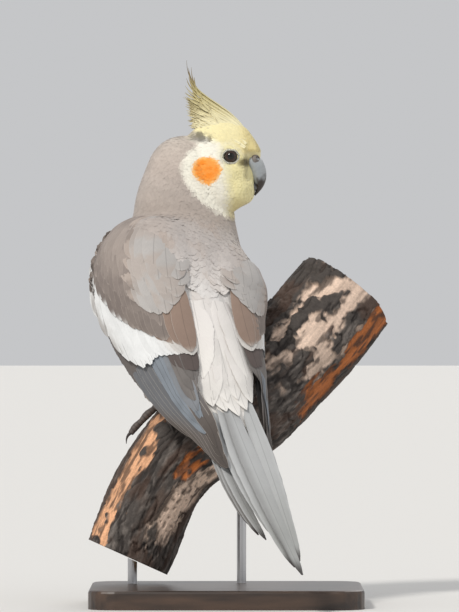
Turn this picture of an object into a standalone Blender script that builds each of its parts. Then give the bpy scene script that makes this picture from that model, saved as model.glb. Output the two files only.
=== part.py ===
"""A life-size cockatiel looking back over its shoulder, on a short length of branch held by a plain stand.

Metres, +Z up. The origin is the centre of the base's underside. The bird faces +Y, a little towards -X,
and turns its head to its right, towards +X.
"""

import math

import bmesh
import bpy
import numpy as np
from mathutils import Matrix, Vector

MM = 0.001
GAP = 0.3 * MM
UP = Vector((0, 0, 1))

# Stand
BASE_LENGTH = 144 * MM
BASE_WIDTH = 110 * MM
BASE_CENTRE = (14 * MM, -15 * MM)
BASE_THICKNESS = 10 * MM
BASE_CORNER = 14 * MM
BASE_EDGE = 1.5 * MM
ROD_RADIUS = 2.5 * MM
# Each rod: x and y, and a height inside the perch that it is cut back from, in mm
RODS = {"stand_rod_low": (-36, 8, 36), "stand_rod_high": (22, 15, 98)}

# Perch: distance along it in mm, then the centre line (x, y, z) and the radius
PERCH_RINGS = 15
PERCH_SIDES = 14
PERCH_LINE = (
    (0, -39, 6, 24.5, 22.5),
    (41, -22.3, 8, 61.5, 22.5),
    (70, -4.2, 13, 84.5, 24.5),
    (109, 25.4, 28, 106, 27),
    (160, 57.6, 48, 138.5, 28),
    (193, 77.5, 59, 163.5, 28),
)
PERCH_LENGTH = PERCH_LINE[-1][0]
# Swellings of the bark: how many round the branch, how fast they turn along it, and their height as
# a share of the radius
PERCH_LUMPS = ((3, 0.05, 0.031), (2, -0.09, 0.019))

# Body: distance along the spine in mm (0 at the middle of the torso, growing towards the tail),
# then the spine's point (x, y, z)
BODY_RIGHT = Vector((0.873, 0.486, -0.032))
SPINE = (
    (-110, -2, 24, 247),
    (-99, -4, 24.5, 236.5),
    (-86, -6.5, 25.5, 223.5),
    (-73, -8.5, 25.5, 211.5),
    (-62, -8.8, 25.2, 202),
    (-47, -9.5, 21.5, 190.5),
    (-27, -11.5, 11.5, 175.5),
    (0, -10.5, -4, 154),
    (28, -3, -20, 131),
    (54, 7.5, -35, 110),
    (74, 16, -46.5, 95),
    (94, 24.5, -58, 79),
)
# Distance along the spine, half width, depth to the back and depth to the belly, in mm
BODY_SECTIONS = (
    (-110, 9.5, 7, 6),
    (-107, 17, 12.5, 10),
    (-99, 23.5, 18, 16),
    (-86, 26.5, 21, 20),
    (-73, 28.5, 22.5, 22),
    (-62, 30, 25, 24),
    (-47, 33.5, 28.5, 28),
    (-27, 36, 32.5, 32),
    (0, 37.5, 32.5, 32),
    (28, 33, 27.5, 26),
    (54, 23, 17.5, 17),
    (74, 14, 9, 9.5),
    (94, 8.5, 2.6, 3.2),
)
BODY_SIDES = 20
NECK_TOP = -110
NECK_BASE = -47
TORSO_END = 58

# Head: its frame turns with the gaze, which is level
GAZE = Vector((math.cos(math.radians(-6)), math.sin(math.radians(-6)), 0))
HEAD_RIGHT = GAZE.cross(UP)
HEAD_CENTRE = Vector((12 * MM, 22 * MM, 236 * MM))
# Distance along the gaze, height of the crown, height of the chin and half width, in mm
HEAD_SECTIONS = (
    (-21.0, 8.5, -7.5, 8.0),
    (-17.5, 14.0, -14.0, 12.5),
    (-12.0, 18.5, -20.5, 15.2),
    (-5.0, 21.0, -26.0, 16.3),
    (1.5, 21.3, -29.5, 15.8),
    (8.0, 19.6, -27.0, 13.8),
    (12.5, 17.0, -22.8, 11.8),
    (15.2, 13.6, -19.5, 9.8),
    (16.8, 11.4, -12.5, 8.8),
    (18.6, 8.4, -3.5, 7.2),
    (20.2, 5.4, -0.5, 4.6),
)
HEAD_SIDES = 20
HEAD_NARROWING = 0.16

EYE_RADIUS = 3.7 * MM
EYE_FORWARD = 5.4 * MM
EYE_HEIGHT = 0.9 * MM
EYE_OUT = 11.4 * MM
LID_RADIUS = 3.9 * MM
LID_THICKNESS = 0.75 * MM
LID_OUT = 1.5 * MM
LID_TURN_FORWARD = 0.16
LID_TURN_UP = 0.1

# Bill: pairs of points on its ridge and its cutting edge, as distance along the gaze and height,
# and the half width there, in mm
BILL_UPPER = (
    ((14.0, 2.8), (11.0, -5.0), 5.2),
    ((17.5, 2.6), (13.0, -5.4), 5.7),
    ((20.6, 0.2), (14.4, -6.4), 5.7),
    ((22.5, -3.4), (15.2, -8.2), 5.2),
    ((23.4, -7.8), (16.2, -10.8), 4.4),
    ((22.9, -12.0), (17.2, -13.4), 3.4),
    ((21.0, -15.8), (17.8, -16.0), 2.2),
    ((17.5, -19.6), (16.8, -19.0), 0.7),
)
BILL_LOWER = (
    ((12.6, -8.0), (13.2, -16.0), 4.2),
    ((15.4, -9.6), (15.6, -17.0), 4.2),
    ((17.2, -12.2), (17.4, -17.0), 3.5),
    ((18.6, -14.4), (18.7, -16.4), 2.2),
)
BILL_SIDES = 12
CERE_CENTRE = (17.8 * MM, 0.2 * MM)
CERE_SIZE = (3.6 * MM, 5.9 * MM, 3.5 * MM)
NOSTRIL_PLACE = (19.5 * MM, 4.6 * MM, 0.6 * MM)
NOSTRIL_RADIUS = 0.9 * MM

# Feathers: how far along each one its sections stand, and their widths there as shares of the widest
VANE_THICKNESS = 0.55 * MM
VANE_ROUND = ((0, 0.45), (0.35, 0.85), (0.75, 1.0), (0.94, 0.7), (1.0, 0.25))
VANE_POINTED = ((0, 0.45), (0.35, 0.9), (0.7, 1.0), (0.9, 0.6), (1.0, 0.1))
VANE_TAIL = ((0, 0.6), (0.3, 1.0), (0.55, 0.92), (0.8, 0.66), (0.94, 0.42), (1.0, 0.12))
VANE_CREST = ((0, 0.8), (0.3, 1.0), (0.6, 0.8), (0.85, 0.5), (1.0, 0.25))
FEATHER_TILT_DEG = 9

# Crest: rows of feathers on the crown, at these distances from its middle in mm. Along each row, from
# front to back, lie the feathers' roots, bends and tips (distance along the gaze, height) in mm.
CREST_ROWS = (-3.0, 0.0, 3.0)
CREST_IN_ROW = 5
CREST_ROOTS = ((0, 11.5, 15.5), (0.5, 2.5, 19.5), (1, -9.0, 18.5))
CREST_BENDS = ((0, -17.5, 34.0), (0.5, -13.5, 30.0), (1, -15.0, 22.0))
CREST_TIPS = ((0, -19.2, 53.5), (0.2, -20.5, 45.0), (0.5, -21.5, 36.0), (1, -20.0, 24.0))
CREST_SIDE_SHARE = 0.84
CREST_TIP_GATHER = 0.4
CREST_VANE_WIDTH = 3.0 * MM
CREST_PAD = (13.0 * MM, 5.0 * MM, 4.2 * MM)
CREST_PAD_PLACE = (1.0 * MM, 22.0 * MM)
CREST_PAD_LEAN_DEG = -36

# Wing: distance along the spine, then (sideways, towards the back) in mm for its lower edge
WING_EDGE = (
    (-50, 27, 6),
    (-40, 38, 2),
    (-26, 47.5, -2),
    (-8, 50.5, -4),
    (10, 48, -6),
    (30, 43, -8),
    (55, 35, -8),
    (78, 26.5, -5),
)
# and for its upper edge, by the midline of the back
WING_BACK = (
    (-50, 15, 24),
    (-30, 12.5, 32),
    (-10, 10.5, 35),
    (10, 12, 33),
    (30, 15.5, 28),
    (50, 18.5, 22),
)
# The folded tips differ: the left one lies over the tail's edge, the right one beside and under it
WING_TIP_EDGE = {
    "left": ((98, 26.5, 2), (116, 22, 9)),
    "right": ((80, 26, -7), (98, 21, -8), (116, 14, -9)),
}
WING_TIP_BACK = {
    "left": ((74, 23, 13), (94, 23.5, 11), (116, 20, 10.5)),
    "right": ((62, 21.5, 14), (76, 22, 6), (94, 18, -3), (116, 12, -8)),
}
SIDES = {"left": -1, "right": 1}
WING_BASE_RINGS = (-48, -42, -34, -24, -12, 0, 12, 24, 34, 44)
WING_BASE_STEPS = 8
WING_BASE_TOP = ((-50, -1.6), (8, -1.7), (44, -3.2))
WING_BASE_DEPTH = ((-50, 9.0), (0, 13.0), (20, 9.0), (44, 2.2))
WING_BASE_EDGE_DEPTH = 2.2
WING_BASE_EDGE_SPAN = 0.4
WING_CORNER = 0.94

# Rows of wing feathers, from the one that lies lowest. Roots and tips are lines through the row: how far
# through it, distance along the spine in mm, and distance across the wing, from 0 at its lower edge to 1 at
# its upper edge. Width, for the first and last feather, and height over the wing's surface are in mm.
WING_ROWS = {
    "primaries": {
        "count": 6,
        "roots": ((0, 26, 0.10), (1, 26, 0.44)),
        "tips": ((0, 76, 0.06), (0.4, 99, 0.22), (0.7, 106, 0.5), (1, 92, 0.9)),
        "widths": (7.5, 8.5),
        "height": -3.7,
        "stations": VANE_POINTED,
    },
    "secondaries": {
        "count": 5,
        "roots": ((0, 24, 0.44), (1, 20, 0.88)),
        "tips": ((0, 82, 0.44), (0.5, 68, 0.66), (1, 54, 0.94)),
        "widths": (8.5, 9.5),
        "height": -2.5,
        "stations": VANE_ROUND,
    },
    "greater_coverts": {
        "count": 6,
        "roots": ((0, 2, 0.12), (1, 20, 0.90)),
        "tips": ((0, 15, 0.06), (0.25, 28, 0.16), (0.6, 34, 0.52), (1, 42, 0.92)),
        "widths": (9.5, 11.5),
        "height": -1.3,
        "stations": VANE_ROUND,
    },
    "median_coverts": {
        "count": 5,
        "roots": ((0, -28, 0.14), (1, 8, 0.84)),
        "tips": ((0, -4, 0.07), (0.3, 13, 0.22), (0.6, 25, 0.42), (1, 37, 0.86)),
        "widths": (10.0, 12.5),
        "height": -0.1,
        "stations": VANE_ROUND,
    },
    "scapulars": {
        "count": 4,
        "roots": ((0, -26, 0.52), (1, -20, 0.90)),
        "tips": ((0, 10, 0.48), (0.4, 20, 0.66), (0.7, 18, 0.82), (1, 6, 0.93)),
        "widths": (12.5, 12.5),
        "height": 1.1,
        "stations": VANE_ROUND,
    },
}
# A wing feather's root lies this far under the wing's base, and it has risen to its height at this share
ROOT_SINK = 1.2
ROOT_RISE_SHARE = 0.35

# Tail: its middle line runs on from the spine to this tip
TAIL_ROOT = Vector((17.0, -44.9, 110.6)) * MM
TAIL_TIP = Vector((52.6, -112, 20.4)) * MM
TAIL_BASE_START = TORSO_END + 0.3
TAIL_BASE_END = 90
# Each tail feather: which side, its offset from the tail's middle at root, halfway and tip,
# its length as a share of the tail's, its depth under the middle pair at root and tip, and its width, in mm
TAIL_FEATHERS = (
    (-1, -4.0, -5.0, 0.2, 1.0, 0.0, 0.0, 12.0),
    (1, 7.5, 6.5, 2.2, 0.92, 0.9, 0.7, 10.5),
    (-1, -6.5, -13.0, -3.0, 0.94, 1.3, 1.2, 11.5),
    (1, 8.0, 9.0, 3.5, 0.84, 2.2, 1.8, 10.0),
    (-1, -8.0, -16.5, -5.5, 0.78, 2.6, 2.4, 10.5),
    (1, 8.5, 9.5, 4.5, 0.74, 3.5, 2.9, 9.5),
    (-1, -8.5, -21.0, -8.5, 0.765, 5.2, 6.4, 9.5),
    (1, 8.5, 9.5, 5.5, 0.64, 4.8, 4.0, 9.0),
    (-1, -9.0, -22.0, -11.0, 0.73, 6.5, 7.7, 9.0),
    (1, 8.5, 9.0, 5.5, 0.55, 6.1, 5.1, 8.5),
    (-1, -9.5, -22.5, -13.0, 0.67, 7.8, 9.0, 8.5),
    (1, 8.0, 8.5, 5.5, 0.46, 7.4, 6.2, 8.0),
)
TAIL_TILT_DEG = 4
# Coverts: offset sideways, distance along the spine at their tips, and height over the spine there, in mm
UPPER_COVERTS = ((-15, 71, 9.0), (13, 69, 10.0), (0, 73, 13.2), (-8, 77, 11.8), (7.5, 77, 12.0))
UPPER_COVERT_START = 60
UPPER_COVERT_WIDTH = 12.0 * MM
UPPER_COVERT_SLOPE = 1.5
LOWER_COVERTS = ((-6, 92), (6, 92), (0, 102))
LOWER_COVERT_START = 61
LOWER_COVERT_WIDTH = 9.0 * MM
LOWER_COVERT_DEPTHS = (10.5, 5.5)
COVERT_ROOT_GATHER = 0.6

# Legs: where each foot's middle stands on the branch (distance along it in mm, angle round it in degrees),
# where its thigh starts in the body, and how its toes run, as the change along and round the branch
FEET = {
    "left": {
        "stand": (74, 100),
        "hip": (27, 15.5, -12),
        "toes": ((-3, 52), (8, 46), (-20, -5), (-9, -50)),
    },
    "right": {
        "stand": (101, 128),
        "hip": (24, 15.5, -12),
        "toes": ((3, 40), (-8, 38), (13, -34), (-2, -44)),
    },
}
# The knee's place from the hip, in mm: along the spine, sideways and towards the back
KNEE = (6, 1, -8)
ANKLE_HEIGHT = 9 * MM
SOLE_HEIGHT = 2.2 * MM
THIGH_SHARE = 0.85
THIGH_RADII = (9.0 * MM, 9.0 * MM, 7.6 * MM, 5.4 * MM, 3.2 * MM)
THIGH_SIDES = 12
SHANK_RADII = (1.8 * MM, 1.8 * MM, 2.0 * MM, 2.5 * MM)
SHANK_SIDES = 8
FOOT_PAD = (3.2 * MM, 3.2 * MM, 2.3 * MM)
TOE_RADII = (2.15, 1.7)
TOE_KNUCKLES = 3
TOE_KNUCKLE_SWELL = 0.18
TOE_WAIST = 0.9
TOE_SINK = 0.75
TOE_CLEARANCE = 0.35
TOE_STEPS = 6
TOE_SIDES = 6
# A toe that runs further than this along the branch stands off it at its tip by this much, in mm
LONG_TOE = 16
LONG_TOE_LIFT = 3.2
CLAW_LENGTH = 6.4
CLAW_RADII = (1.05, 0.22)
CLAW_ARCH = 0.9
CLAW_DROP = 2.2
CLAW_SINK = 0.8
CLAW_STEPS = 4
CLAW_SIDES = 5

# The bodies that cut their neighbours: the span of the spine and the number of rings
BODY_CUTTER = (-80, 90, 26)
LEG_CUTTER = (-60, 92, 24)
NECK_CUTTER = (NECK_TOP, NECK_BASE, 12)

COLLECTION = "cockatiel"
COLOURS = {
    "plumage_grey": ((0.36, 0.33, 0.31), 0.8),
    "plumage_wing": ((0.42, 0.40, 0.39), 0.75),
    "plumage_tail": ((0.50, 0.51, 0.51), 0.7),
    "plumage_face": ((0.78, 0.72, 0.42), 0.8),
    "plumage_crest": ((0.66, 0.62, 0.33), 0.8),
    "bill_horn": ((0.30, 0.33, 0.36), 0.4),
    "eye": ((0.05, 0.03, 0.02), 0.1),
    "foot_skin": ((0.16, 0.15, 0.15), 0.7),
    "charred_bark": ((0.10, 0.08, 0.07), 0.9),
    "stand_wood": ((0.08, 0.06, 0.05), 0.5),
    "stand_metal": ((0.25, 0.25, 0.26), 0.35),
}


def clear_scene():
    for obj in list(bpy.data.objects):
        bpy.data.objects.remove(obj)
    parts = bpy.data.collections.new(COLLECTION)
    bpy.context.scene.collection.children.link(parts)


def material(name):
    colour, roughness = COLOURS[name]
    found = bpy.data.materials.get(name)
    if found:
        return found
    made = bpy.data.materials.new(name)
    made.use_nodes = True
    shader = made.node_tree.nodes["Principled BSDF"]
    shader.inputs["Base Color"].default_value = (*colour, 1)
    shader.inputs["Roughness"].default_value = roughness
    shader.inputs["Metallic"].default_value = 1.0 if name == "stand_metal" else 0.0
    return made


def smooth_at(table, t):
    """The row of values at t on a smooth curve through a table whose rows start with their own t."""
    rows = np.array(table, float)
    keys, values = rows[:, 0], rows[:, 1:]
    t = min(max(t, keys[0]), keys[-1])
    i = min(int(np.searchsorted(keys, t, side="right")) - 1, len(keys) - 2)
    slopes = []
    for k in (i, i + 1):
        before, after = max(k - 1, 0), min(k + 1, len(keys) - 1)
        slopes.append((values[after] - values[before]) / (keys[after] - keys[before]))
    span = keys[i + 1] - keys[i]
    x = (t - keys[i]) / span
    return (
        (2 * x**3 - 3 * x**2 + 1) * values[i]
        + (x**3 - 2 * x**2 + x) * span * slopes[0]
        + (3 * x**2 - 2 * x**3) * values[i + 1]
        + (x**3 - x**2) * span * slopes[1]
    )


def mix(a, b, t):
    return a + (b - a) * t


def ramp(t, start, end):
    x = min(max((t - start) / (end - start), 0), 1)
    return x * x * (3 - 2 * x)


def new_object(name, mesh, colour):
    obj = bpy.data.objects.new(name, mesh)
    obj.data.materials.append(material(colour))
    bpy.data.collections[COLLECTION].objects.link(obj)
    return obj


def loft(name, rings, colour):
    """A closed solid through rings that have the same number of points, with flat ends."""
    shape = bmesh.new()
    rows = [[shape.verts.new(p) for p in ring] for ring in rings]
    count = len(rows[0])
    for lower, upper in zip(rows, rows[1:]):
        for i in range(count):
            j = (i + 1) % count
            shape.faces.new((lower[i], lower[j], upper[j]))
            shape.faces.new((lower[i], upper[j], upper[i]))
    shape.faces.new(rows[0][::-1])
    shape.faces.new(rows[-1])
    bmesh.ops.triangulate(shape, faces=[f for f in shape.faces if len(f.verts) > 4])
    bmesh.ops.recalc_face_normals(shape, faces=shape.faces)
    mesh = bpy.data.meshes.new(name)
    shape.to_mesh(mesh)
    shape.free()
    return new_object(name, mesh, colour)


def ellipsoid(name, centre, size, axes, colour, segments=16, rings=10):
    """size holds the half lengths along the three axes."""
    shape = bmesh.new()
    bmesh.ops.create_uvsphere(shape, u_segments=segments, v_segments=rings, radius=1)
    turn = Matrix([[axes[c][r] * size[c] for c in range(3)] for r in range(3)]).to_4x4()
    bmesh.ops.transform(shape, matrix=Matrix.Translation(centre) @ turn, verts=shape.verts)
    bmesh.ops.recalc_face_normals(shape, faces=shape.faces)
    mesh = bpy.data.meshes.new(name)
    shape.to_mesh(mesh)
    shape.free()
    return new_object(name, mesh, colour)


def bake_modifiers(obj):
    graph = bpy.context.evaluated_depsgraph_get()
    mesh = bpy.data.meshes.new_from_object(obj.evaluated_get(graph))
    obj.modifiers.clear()
    obj.data = mesh


def keep_largest(obj):
    """Drops every closed surface but the largest."""
    shape = bmesh.new()
    shape.from_mesh(obj.data)
    left, groups = set(shape.verts), []
    while left:
        group, queue = set(), [left.pop()]
        while queue:
            vert = queue.pop()
            group.add(vert)
            for edge in vert.link_edges:
                other = edge.other_vert(vert)
                if other in left:
                    left.discard(other)
                    queue.append(other)
        groups.append(group)
    if len(groups) > 1:
        groups.sort(key=extent_of, reverse=True)
        loose = [vert for group in groups[1:] for vert in group]
        bmesh.ops.delete(shape, geom=loose, context="VERTS")
        shape.to_mesh(obj.data)
    shape.free()


def extent_of(verts):
    points = np.array([vert.co for vert in verts])
    return float(np.prod(points.max(axis=0) - points.min(axis=0) + MM))


def fuse(obj, pieces, solver="EXACT"):
    """Joins closed pieces to obj in one union, and removes them."""
    group = bpy.data.collections.new(obj.name + "_pieces")
    for piece in pieces:
        group.objects.link(piece)
    join = obj.modifiers.new("join", "BOOLEAN")
    join.operation = "UNION"
    join.operand_type = "COLLECTION"
    join.collection = group
    join.solver = solver
    bake_modifiers(obj)
    for piece in pieces:
        bpy.data.objects.remove(piece)
    bpy.data.collections.remove(group)
    keep_largest(obj)
    return obj


def cut(obj, cutters, solver="EXACT"):
    """Takes closed cutters out of obj, and removes them."""
    for cutter in cutters:
        take = obj.modifiers.new("cut", "BOOLEAN")
        take.operation = "DIFFERENCE"
        take.object = cutter
        take.solver = solver
        bake_modifiers(obj)
        bpy.data.objects.remove(cutter)
    keep_largest(obj)
    return obj


def spine_frame(along):
    """The spine's point and its directions towards the tail, the bird's right and its back."""
    point = Vector(smooth_at(SPINE, along)) * MM
    step = 1.0
    ahead = Vector(smooth_at(SPINE, along + step)) - Vector(smooth_at(SPINE, along - step))
    tailward = ahead.normalized()
    right = (BODY_RIGHT - tailward * BODY_RIGHT.dot(tailward)).normalized()
    return point, tailward, right, tailward.cross(right)


def body_point(along, sideways, backward):
    """A point by the spine, in metres, from distances in mm."""
    end = SPINE[-1][0]
    point, tailward, right, back = spine_frame(min(along, end))
    beyond = max(along - end, 0)
    return point + (tailward * beyond + right * sideways + back * backward) * MM


def body_ring(along, grow=0.0):
    width, back_depth, belly_depth = smooth_at(BODY_SECTIONS, along)
    point, _, right, back = spine_frame(along)
    ring = []
    for i in range(BODY_SIDES):
        angle = 2 * math.pi * i / BODY_SIDES
        depth = back_depth if math.sin(angle) > 0 else belly_depth
        ring.append(
            point
            + right * (math.cos(angle) * (width * MM + grow))
            + back * (math.sin(angle) * (depth * MM + grow))
        )
    return ring


def body_loft(name, start, end, count, colour, grow=0.0):
    return loft(name, [body_ring(mix(start, end, i / (count - 1)), grow) for i in range(count)], colour)


def head_point(forward, sideways, height):
    """A point in the head's frame, all in metres."""
    return HEAD_CENTRE + GAZE * forward + HEAD_RIGHT * sideways + UP * height


def head_shape(name, grow=0.0, count=15):
    first, last = HEAD_SECTIONS[0][0], HEAD_SECTIONS[-1][0]
    rings = []
    for k in range(count):
        # Rings stand closer together at both ends, where the head rounds off
        forward = mix(first, last, 0.5 - 0.5 * math.cos(math.pi * k / (count - 1)))
        top, bottom, width = smooth_at(HEAD_SECTIONS, forward)
        middle, half = (top + bottom) / 2 * MM, (top - bottom) / 2 * MM
        ring = []
        for i in range(HEAD_SIDES):
            angle = 2 * math.pi * i / HEAD_SIDES
            side = math.cos(angle) * (1 - HEAD_NARROWING * math.sin(angle))
            out = -grow * math.cos(math.pi * k / (count - 1))
            ring.append(
                head_point(
                    forward * MM + out,
                    side * (width * MM + grow),
                    middle + math.sin(angle) * (half + grow),
                )
            )
        rings.append(ring)
    return loft(name, rings, "plumage_face")


def eye_place(side):
    return head_point(EYE_FORWARD, side * EYE_OUT, EYE_HEIGHT)


def eyelid(side):
    bpy.ops.mesh.primitive_torus_add(
        major_segments=16,
        minor_segments=6,
        major_radius=LID_RADIUS,
        minor_radius=LID_THICKNESS,
    )
    lid = bpy.context.object
    lid.name = "lid"
    outward = (HEAD_RIGHT * side + GAZE * LID_TURN_FORWARD + UP * LID_TURN_UP).normalized()
    turn = outward.to_track_quat("Z", "Y").to_matrix().to_4x4()
    lid.data.transform(Matrix.Translation(eye_place(side) + outward * LID_OUT) @ turn)
    lid.data.materials.append(material("plumage_face"))
    return lid


def make_head():
    head = head_shape("head")
    fuse(head, [eyelid(1), eyelid(-1)])
    axes = (GAZE, HEAD_RIGHT, UP)
    size = (EYE_RADIUS + GAP,) * 3
    sockets = [ellipsoid("socket", eye_place(s), size, axes, "eye") for s in (1, -1)]
    cut(head, sockets)
    for side, name in ((1, "eye_right"), (-1, "eye_left")):
        ellipsoid(name, eye_place(side), (EYE_RADIUS,) * 3, axes, "eye", 14, 9)


def bill_ring(station, grow=0.0):
    ridge, edge, width = station
    ridge = Vector((ridge[0], 0, ridge[1])) * MM
    edge = Vector((edge[0], 0, edge[1])) * MM
    middle, half = (ridge + edge) / 2, (ridge - edge) / 2
    half = half.normalized() * (half.length + grow)
    ring = []
    for i in range(BILL_SIDES):
        angle = 2 * math.pi * i / BILL_SIDES
        spot = middle + half * math.sin(angle)
        ring.append(head_point(spot.x, math.cos(angle) * (width * MM + grow), spot.z))
    return ring


def make_bill():
    upper = loft("bill_upper", [bill_ring(s) for s in BILL_UPPER], "bill_horn")
    cere = ellipsoid(
        "cere",
        head_point(CERE_CENTRE[0], 0, CERE_CENTRE[1]),
        CERE_SIZE,
        (GAZE, HEAD_RIGHT, UP),
        "bill_horn",
    )
    fuse(upper, [cere])
    nostrils = []
    for side in (1, -1):
        forward, out, height = NOSTRIL_PLACE
        place = head_point(forward, side * out, height)
        size = (NOSTRIL_RADIUS,) * 3
        nostrils.append(ellipsoid("nostril", place, size, (GAZE, HEAD_RIGHT, UP), "eye", 8, 6))
    cut(upper, [head_shape("head_cutter", GAP), *nostrils])
    lower = loft("bill_lower", [bill_ring(s) for s in BILL_LOWER], "bill_horn")
    upper_cutter = loft("upper_cutter", [bill_ring(s, GAP) for s in BILL_UPPER], "bill_horn")
    cut(lower, [head_shape("head_cutter", GAP), upper_cutter])


def vane(line, facing, width, stations, colour, tilt=0.0, thickness=VANE_THICKNESS):
    """One feather: a thin plate along line(t), its face turned to facing(t), both faces split alike."""
    rings = []
    for t, share in stations:
        point = line(t)
        ahead = (line(min(t + 0.02, 1)) - line(max(t - 0.02, 0))).normalized()
        normal = facing(t)
        normal = (normal - ahead * normal.dot(ahead)).normalized()
        across = ahead.cross(normal)
        across, normal = (
            across * math.cos(tilt) + normal * math.sin(tilt),
            normal * math.cos(tilt) - across * math.sin(tilt),
        )
        half = across * (width * share / 2)
        lift = normal * (thickness / 2)
        rings.append((point - half + lift, point + half + lift, point + half - lift, point - half - lift))
    shape = bmesh.new()
    rows = [[shape.verts.new(p) for p in ring] for ring in rings]
    for near, far in zip(rows, rows[1:]):
        shape.faces.new((near[0], near[1], far[1]))
        shape.faces.new((near[0], far[1], far[0]))
        shape.faces.new((near[3], far[2], near[2]))
        shape.faces.new((near[3], far[3], far[2]))
        for i, j in ((1, 2), (3, 0)):
            shape.faces.new((near[i], near[j], far[j]))
            shape.faces.new((near[i], far[j], far[i]))
    for row in (rows[0], rows[-1]):
        shape.faces.new(row[:3])
        shape.faces.new((row[0], row[2], row[3]))
    bmesh.ops.recalc_face_normals(shape, faces=shape.faces)
    mesh = bpy.data.meshes.new("vane")
    shape.to_mesh(mesh)
    shape.free()
    return new_object("vane", mesh, colour)


def wing_surface(side, along, across, lift=0.0):
    """A point on the folded wing's outer surface, raised by lift mm."""
    name = "left" if side < 0 else "right"
    low = smooth_at(WING_EDGE + WING_TIP_EDGE[name], along)
    high = smooth_at(WING_BACK + WING_TIP_BACK[name], along)
    corner = np.maximum(low, high) * WING_CORNER
    flat = low * (1 - across) ** 2 + corner * 2 * across * (1 - across) + high * across**2
    if lift:
        slope = 2 * (1 - across) * (corner - low) + 2 * across * (high - corner)
        out = np.array((slope[1], -slope[0])) / max(float(np.hypot(*slope)), 1e-6)
        flat = flat + out * lift
    return body_point(along, side * flat[0], flat[1])


def wing_normal(side, along, across):
    return (wing_surface(side, along, across, 1.0) - wing_surface(side, along, across, 0.0)).normalized()


def wing_base(side):
    rings = []
    for along in WING_BASE_RINGS:
        top = float(smooth_at(WING_BASE_TOP, along)[0])
        full_depth = float(smooth_at(WING_BASE_DEPTH, along)[0])
        outer, inner = [], []
        for i in range(WING_BASE_STEPS + 1):
            across = i / WING_BASE_STEPS
            depth = mix(WING_BASE_EDGE_DEPTH, full_depth, ramp(across, 0.0, WING_BASE_EDGE_SPAN))
            outer.append(wing_surface(side, along, across, top))
            inner.append(wing_surface(side, along, across, top - depth))
        rings.append(outer + inner[::-1])
    name = "wing_left" if side < 0 else "wing_right"
    return loft(name, rings, "plumage_wing")


def wing_row(side, row):
    tilt = -side * math.radians(FEATHER_TILT_DEG)
    height = row["height"]
    vanes = []
    for i in range(row["count"]):
        share = i / (row["count"] - 1)
        root, tip = smooth_at(row["roots"], share), smooth_at(row["tips"], share)
        sunk = min(float(smooth_at(WING_BASE_TOP, root[0])[0]) - ROOT_SINK, height)

        def spot(t, root=root, tip=tip, sunk=sunk):
            rise = mix(sunk, height, ramp(t, 0.0, ROOT_RISE_SHARE))
            return wing_surface(side, *mix(root, tip, t), rise)

        def facing(t, root=root, tip=tip):
            return wing_normal(side, *mix(root, tip, t))

        width = mix(*row["widths"], share) * MM
        vanes.append(vane(spot, facing, width, row["stations"], "plumage_wing", tilt))
    return vanes


def body_cutter(start, end, count):
    return body_loft("body_cutter", start, end, count, "plumage_grey", GAP)


def make_wing(side):
    # EXACT loses the right wing's thin shell, so both wings are made with MANIFOLD
    wing = wing_base(side)
    cut(wing, [body_cutter(*BODY_CUTTER)], "MANIFOLD")
    fuse(wing, [piece for row in WING_ROWS.values() for piece in wing_row(side, row)], "MANIFOLD")
    cut(wing, [body_cutter(*BODY_CUTTER)], "MANIFOLD")


def tail_frame():
    """The tail's directions: along it, to its right and away from its upper face."""
    along = (TAIL_TIP - TAIL_ROOT).normalized()
    right = (BODY_RIGHT - along * BODY_RIGHT.dot(along)).normalized()
    return along, right, along.cross(right)


def tail_vane(feather):
    side, at_root, halfway, at_tip, share, deep_root, deep_tip, width = feather
    along, right, above = tail_frame()
    length = (TAIL_TIP - TAIL_ROOT).length * share

    def spot(t):
        offset = at_root * (1 - t) ** 2 + halfway * 2 * t * (1 - t) + at_tip * t * t
        depth = mix(deep_root, deep_tip, t)
        return TAIL_ROOT + along * (length * t) + (right * offset - above * depth) * MM

    def facing(t):
        return above

    tilt = -side * math.radians(TAIL_TILT_DEG)
    return vane(spot, facing, width * MM, VANE_TAIL, "plumage_tail", tilt)


def tail_covert(sideways, span, width, heights):
    """A covert by the tail's root. Heights below zero put it on the tail's lower side."""
    sign = math.copysign(1, heights[1])

    def spot(t):
        gathered = sideways * mix(COVERT_ROOT_GATHER, 1, t)
        return body_point(mix(*span, t), gathered, mix(*heights, t))

    def facing(t):
        return spine_frame(min(mix(*span, t), SPINE[-1][0]))[3] * sign

    tilt = -math.copysign(math.radians(FEATHER_TILT_DEG), sideways) * sign if sideways else 0
    return vane(spot, facing, width, VANE_POINTED, "plumage_tail", tilt)


def make_tail():
    tail = body_loft("tail", TAIL_BASE_START, TAIL_BASE_END, 6, "plumage_tail")
    pieces = [tail_vane(feather) for feather in TAIL_FEATHERS]
    for sideways, reach, height in UPPER_COVERTS:
        heights = (height + UPPER_COVERT_SLOPE, height)
        pieces.append(tail_covert(sideways, (UPPER_COVERT_START, reach), UPPER_COVERT_WIDTH, heights))
    for sideways, reach in LOWER_COVERTS:
        heights = [-depth for depth in LOWER_COVERT_DEPTHS]
        pieces.append(tail_covert(sideways, (LOWER_COVERT_START, reach), LOWER_COVERT_WIDTH, heights))
    fuse(tail, pieces)


def perch_frame(along):
    """The branch's centre, direction, a direction across it and the upward one, and its radius."""
    x, y, z, radius = smooth_at(PERCH_LINE, along)
    before, after = (smooth_at(PERCH_LINE, along + step)[:3] for step in (-0.5, 0.5))
    ahead = Vector(after - before).normalized()
    across = ahead.cross(UP).normalized()
    return Vector((x, y, z)) * MM, ahead, across, across.cross(ahead), radius * MM


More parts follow.
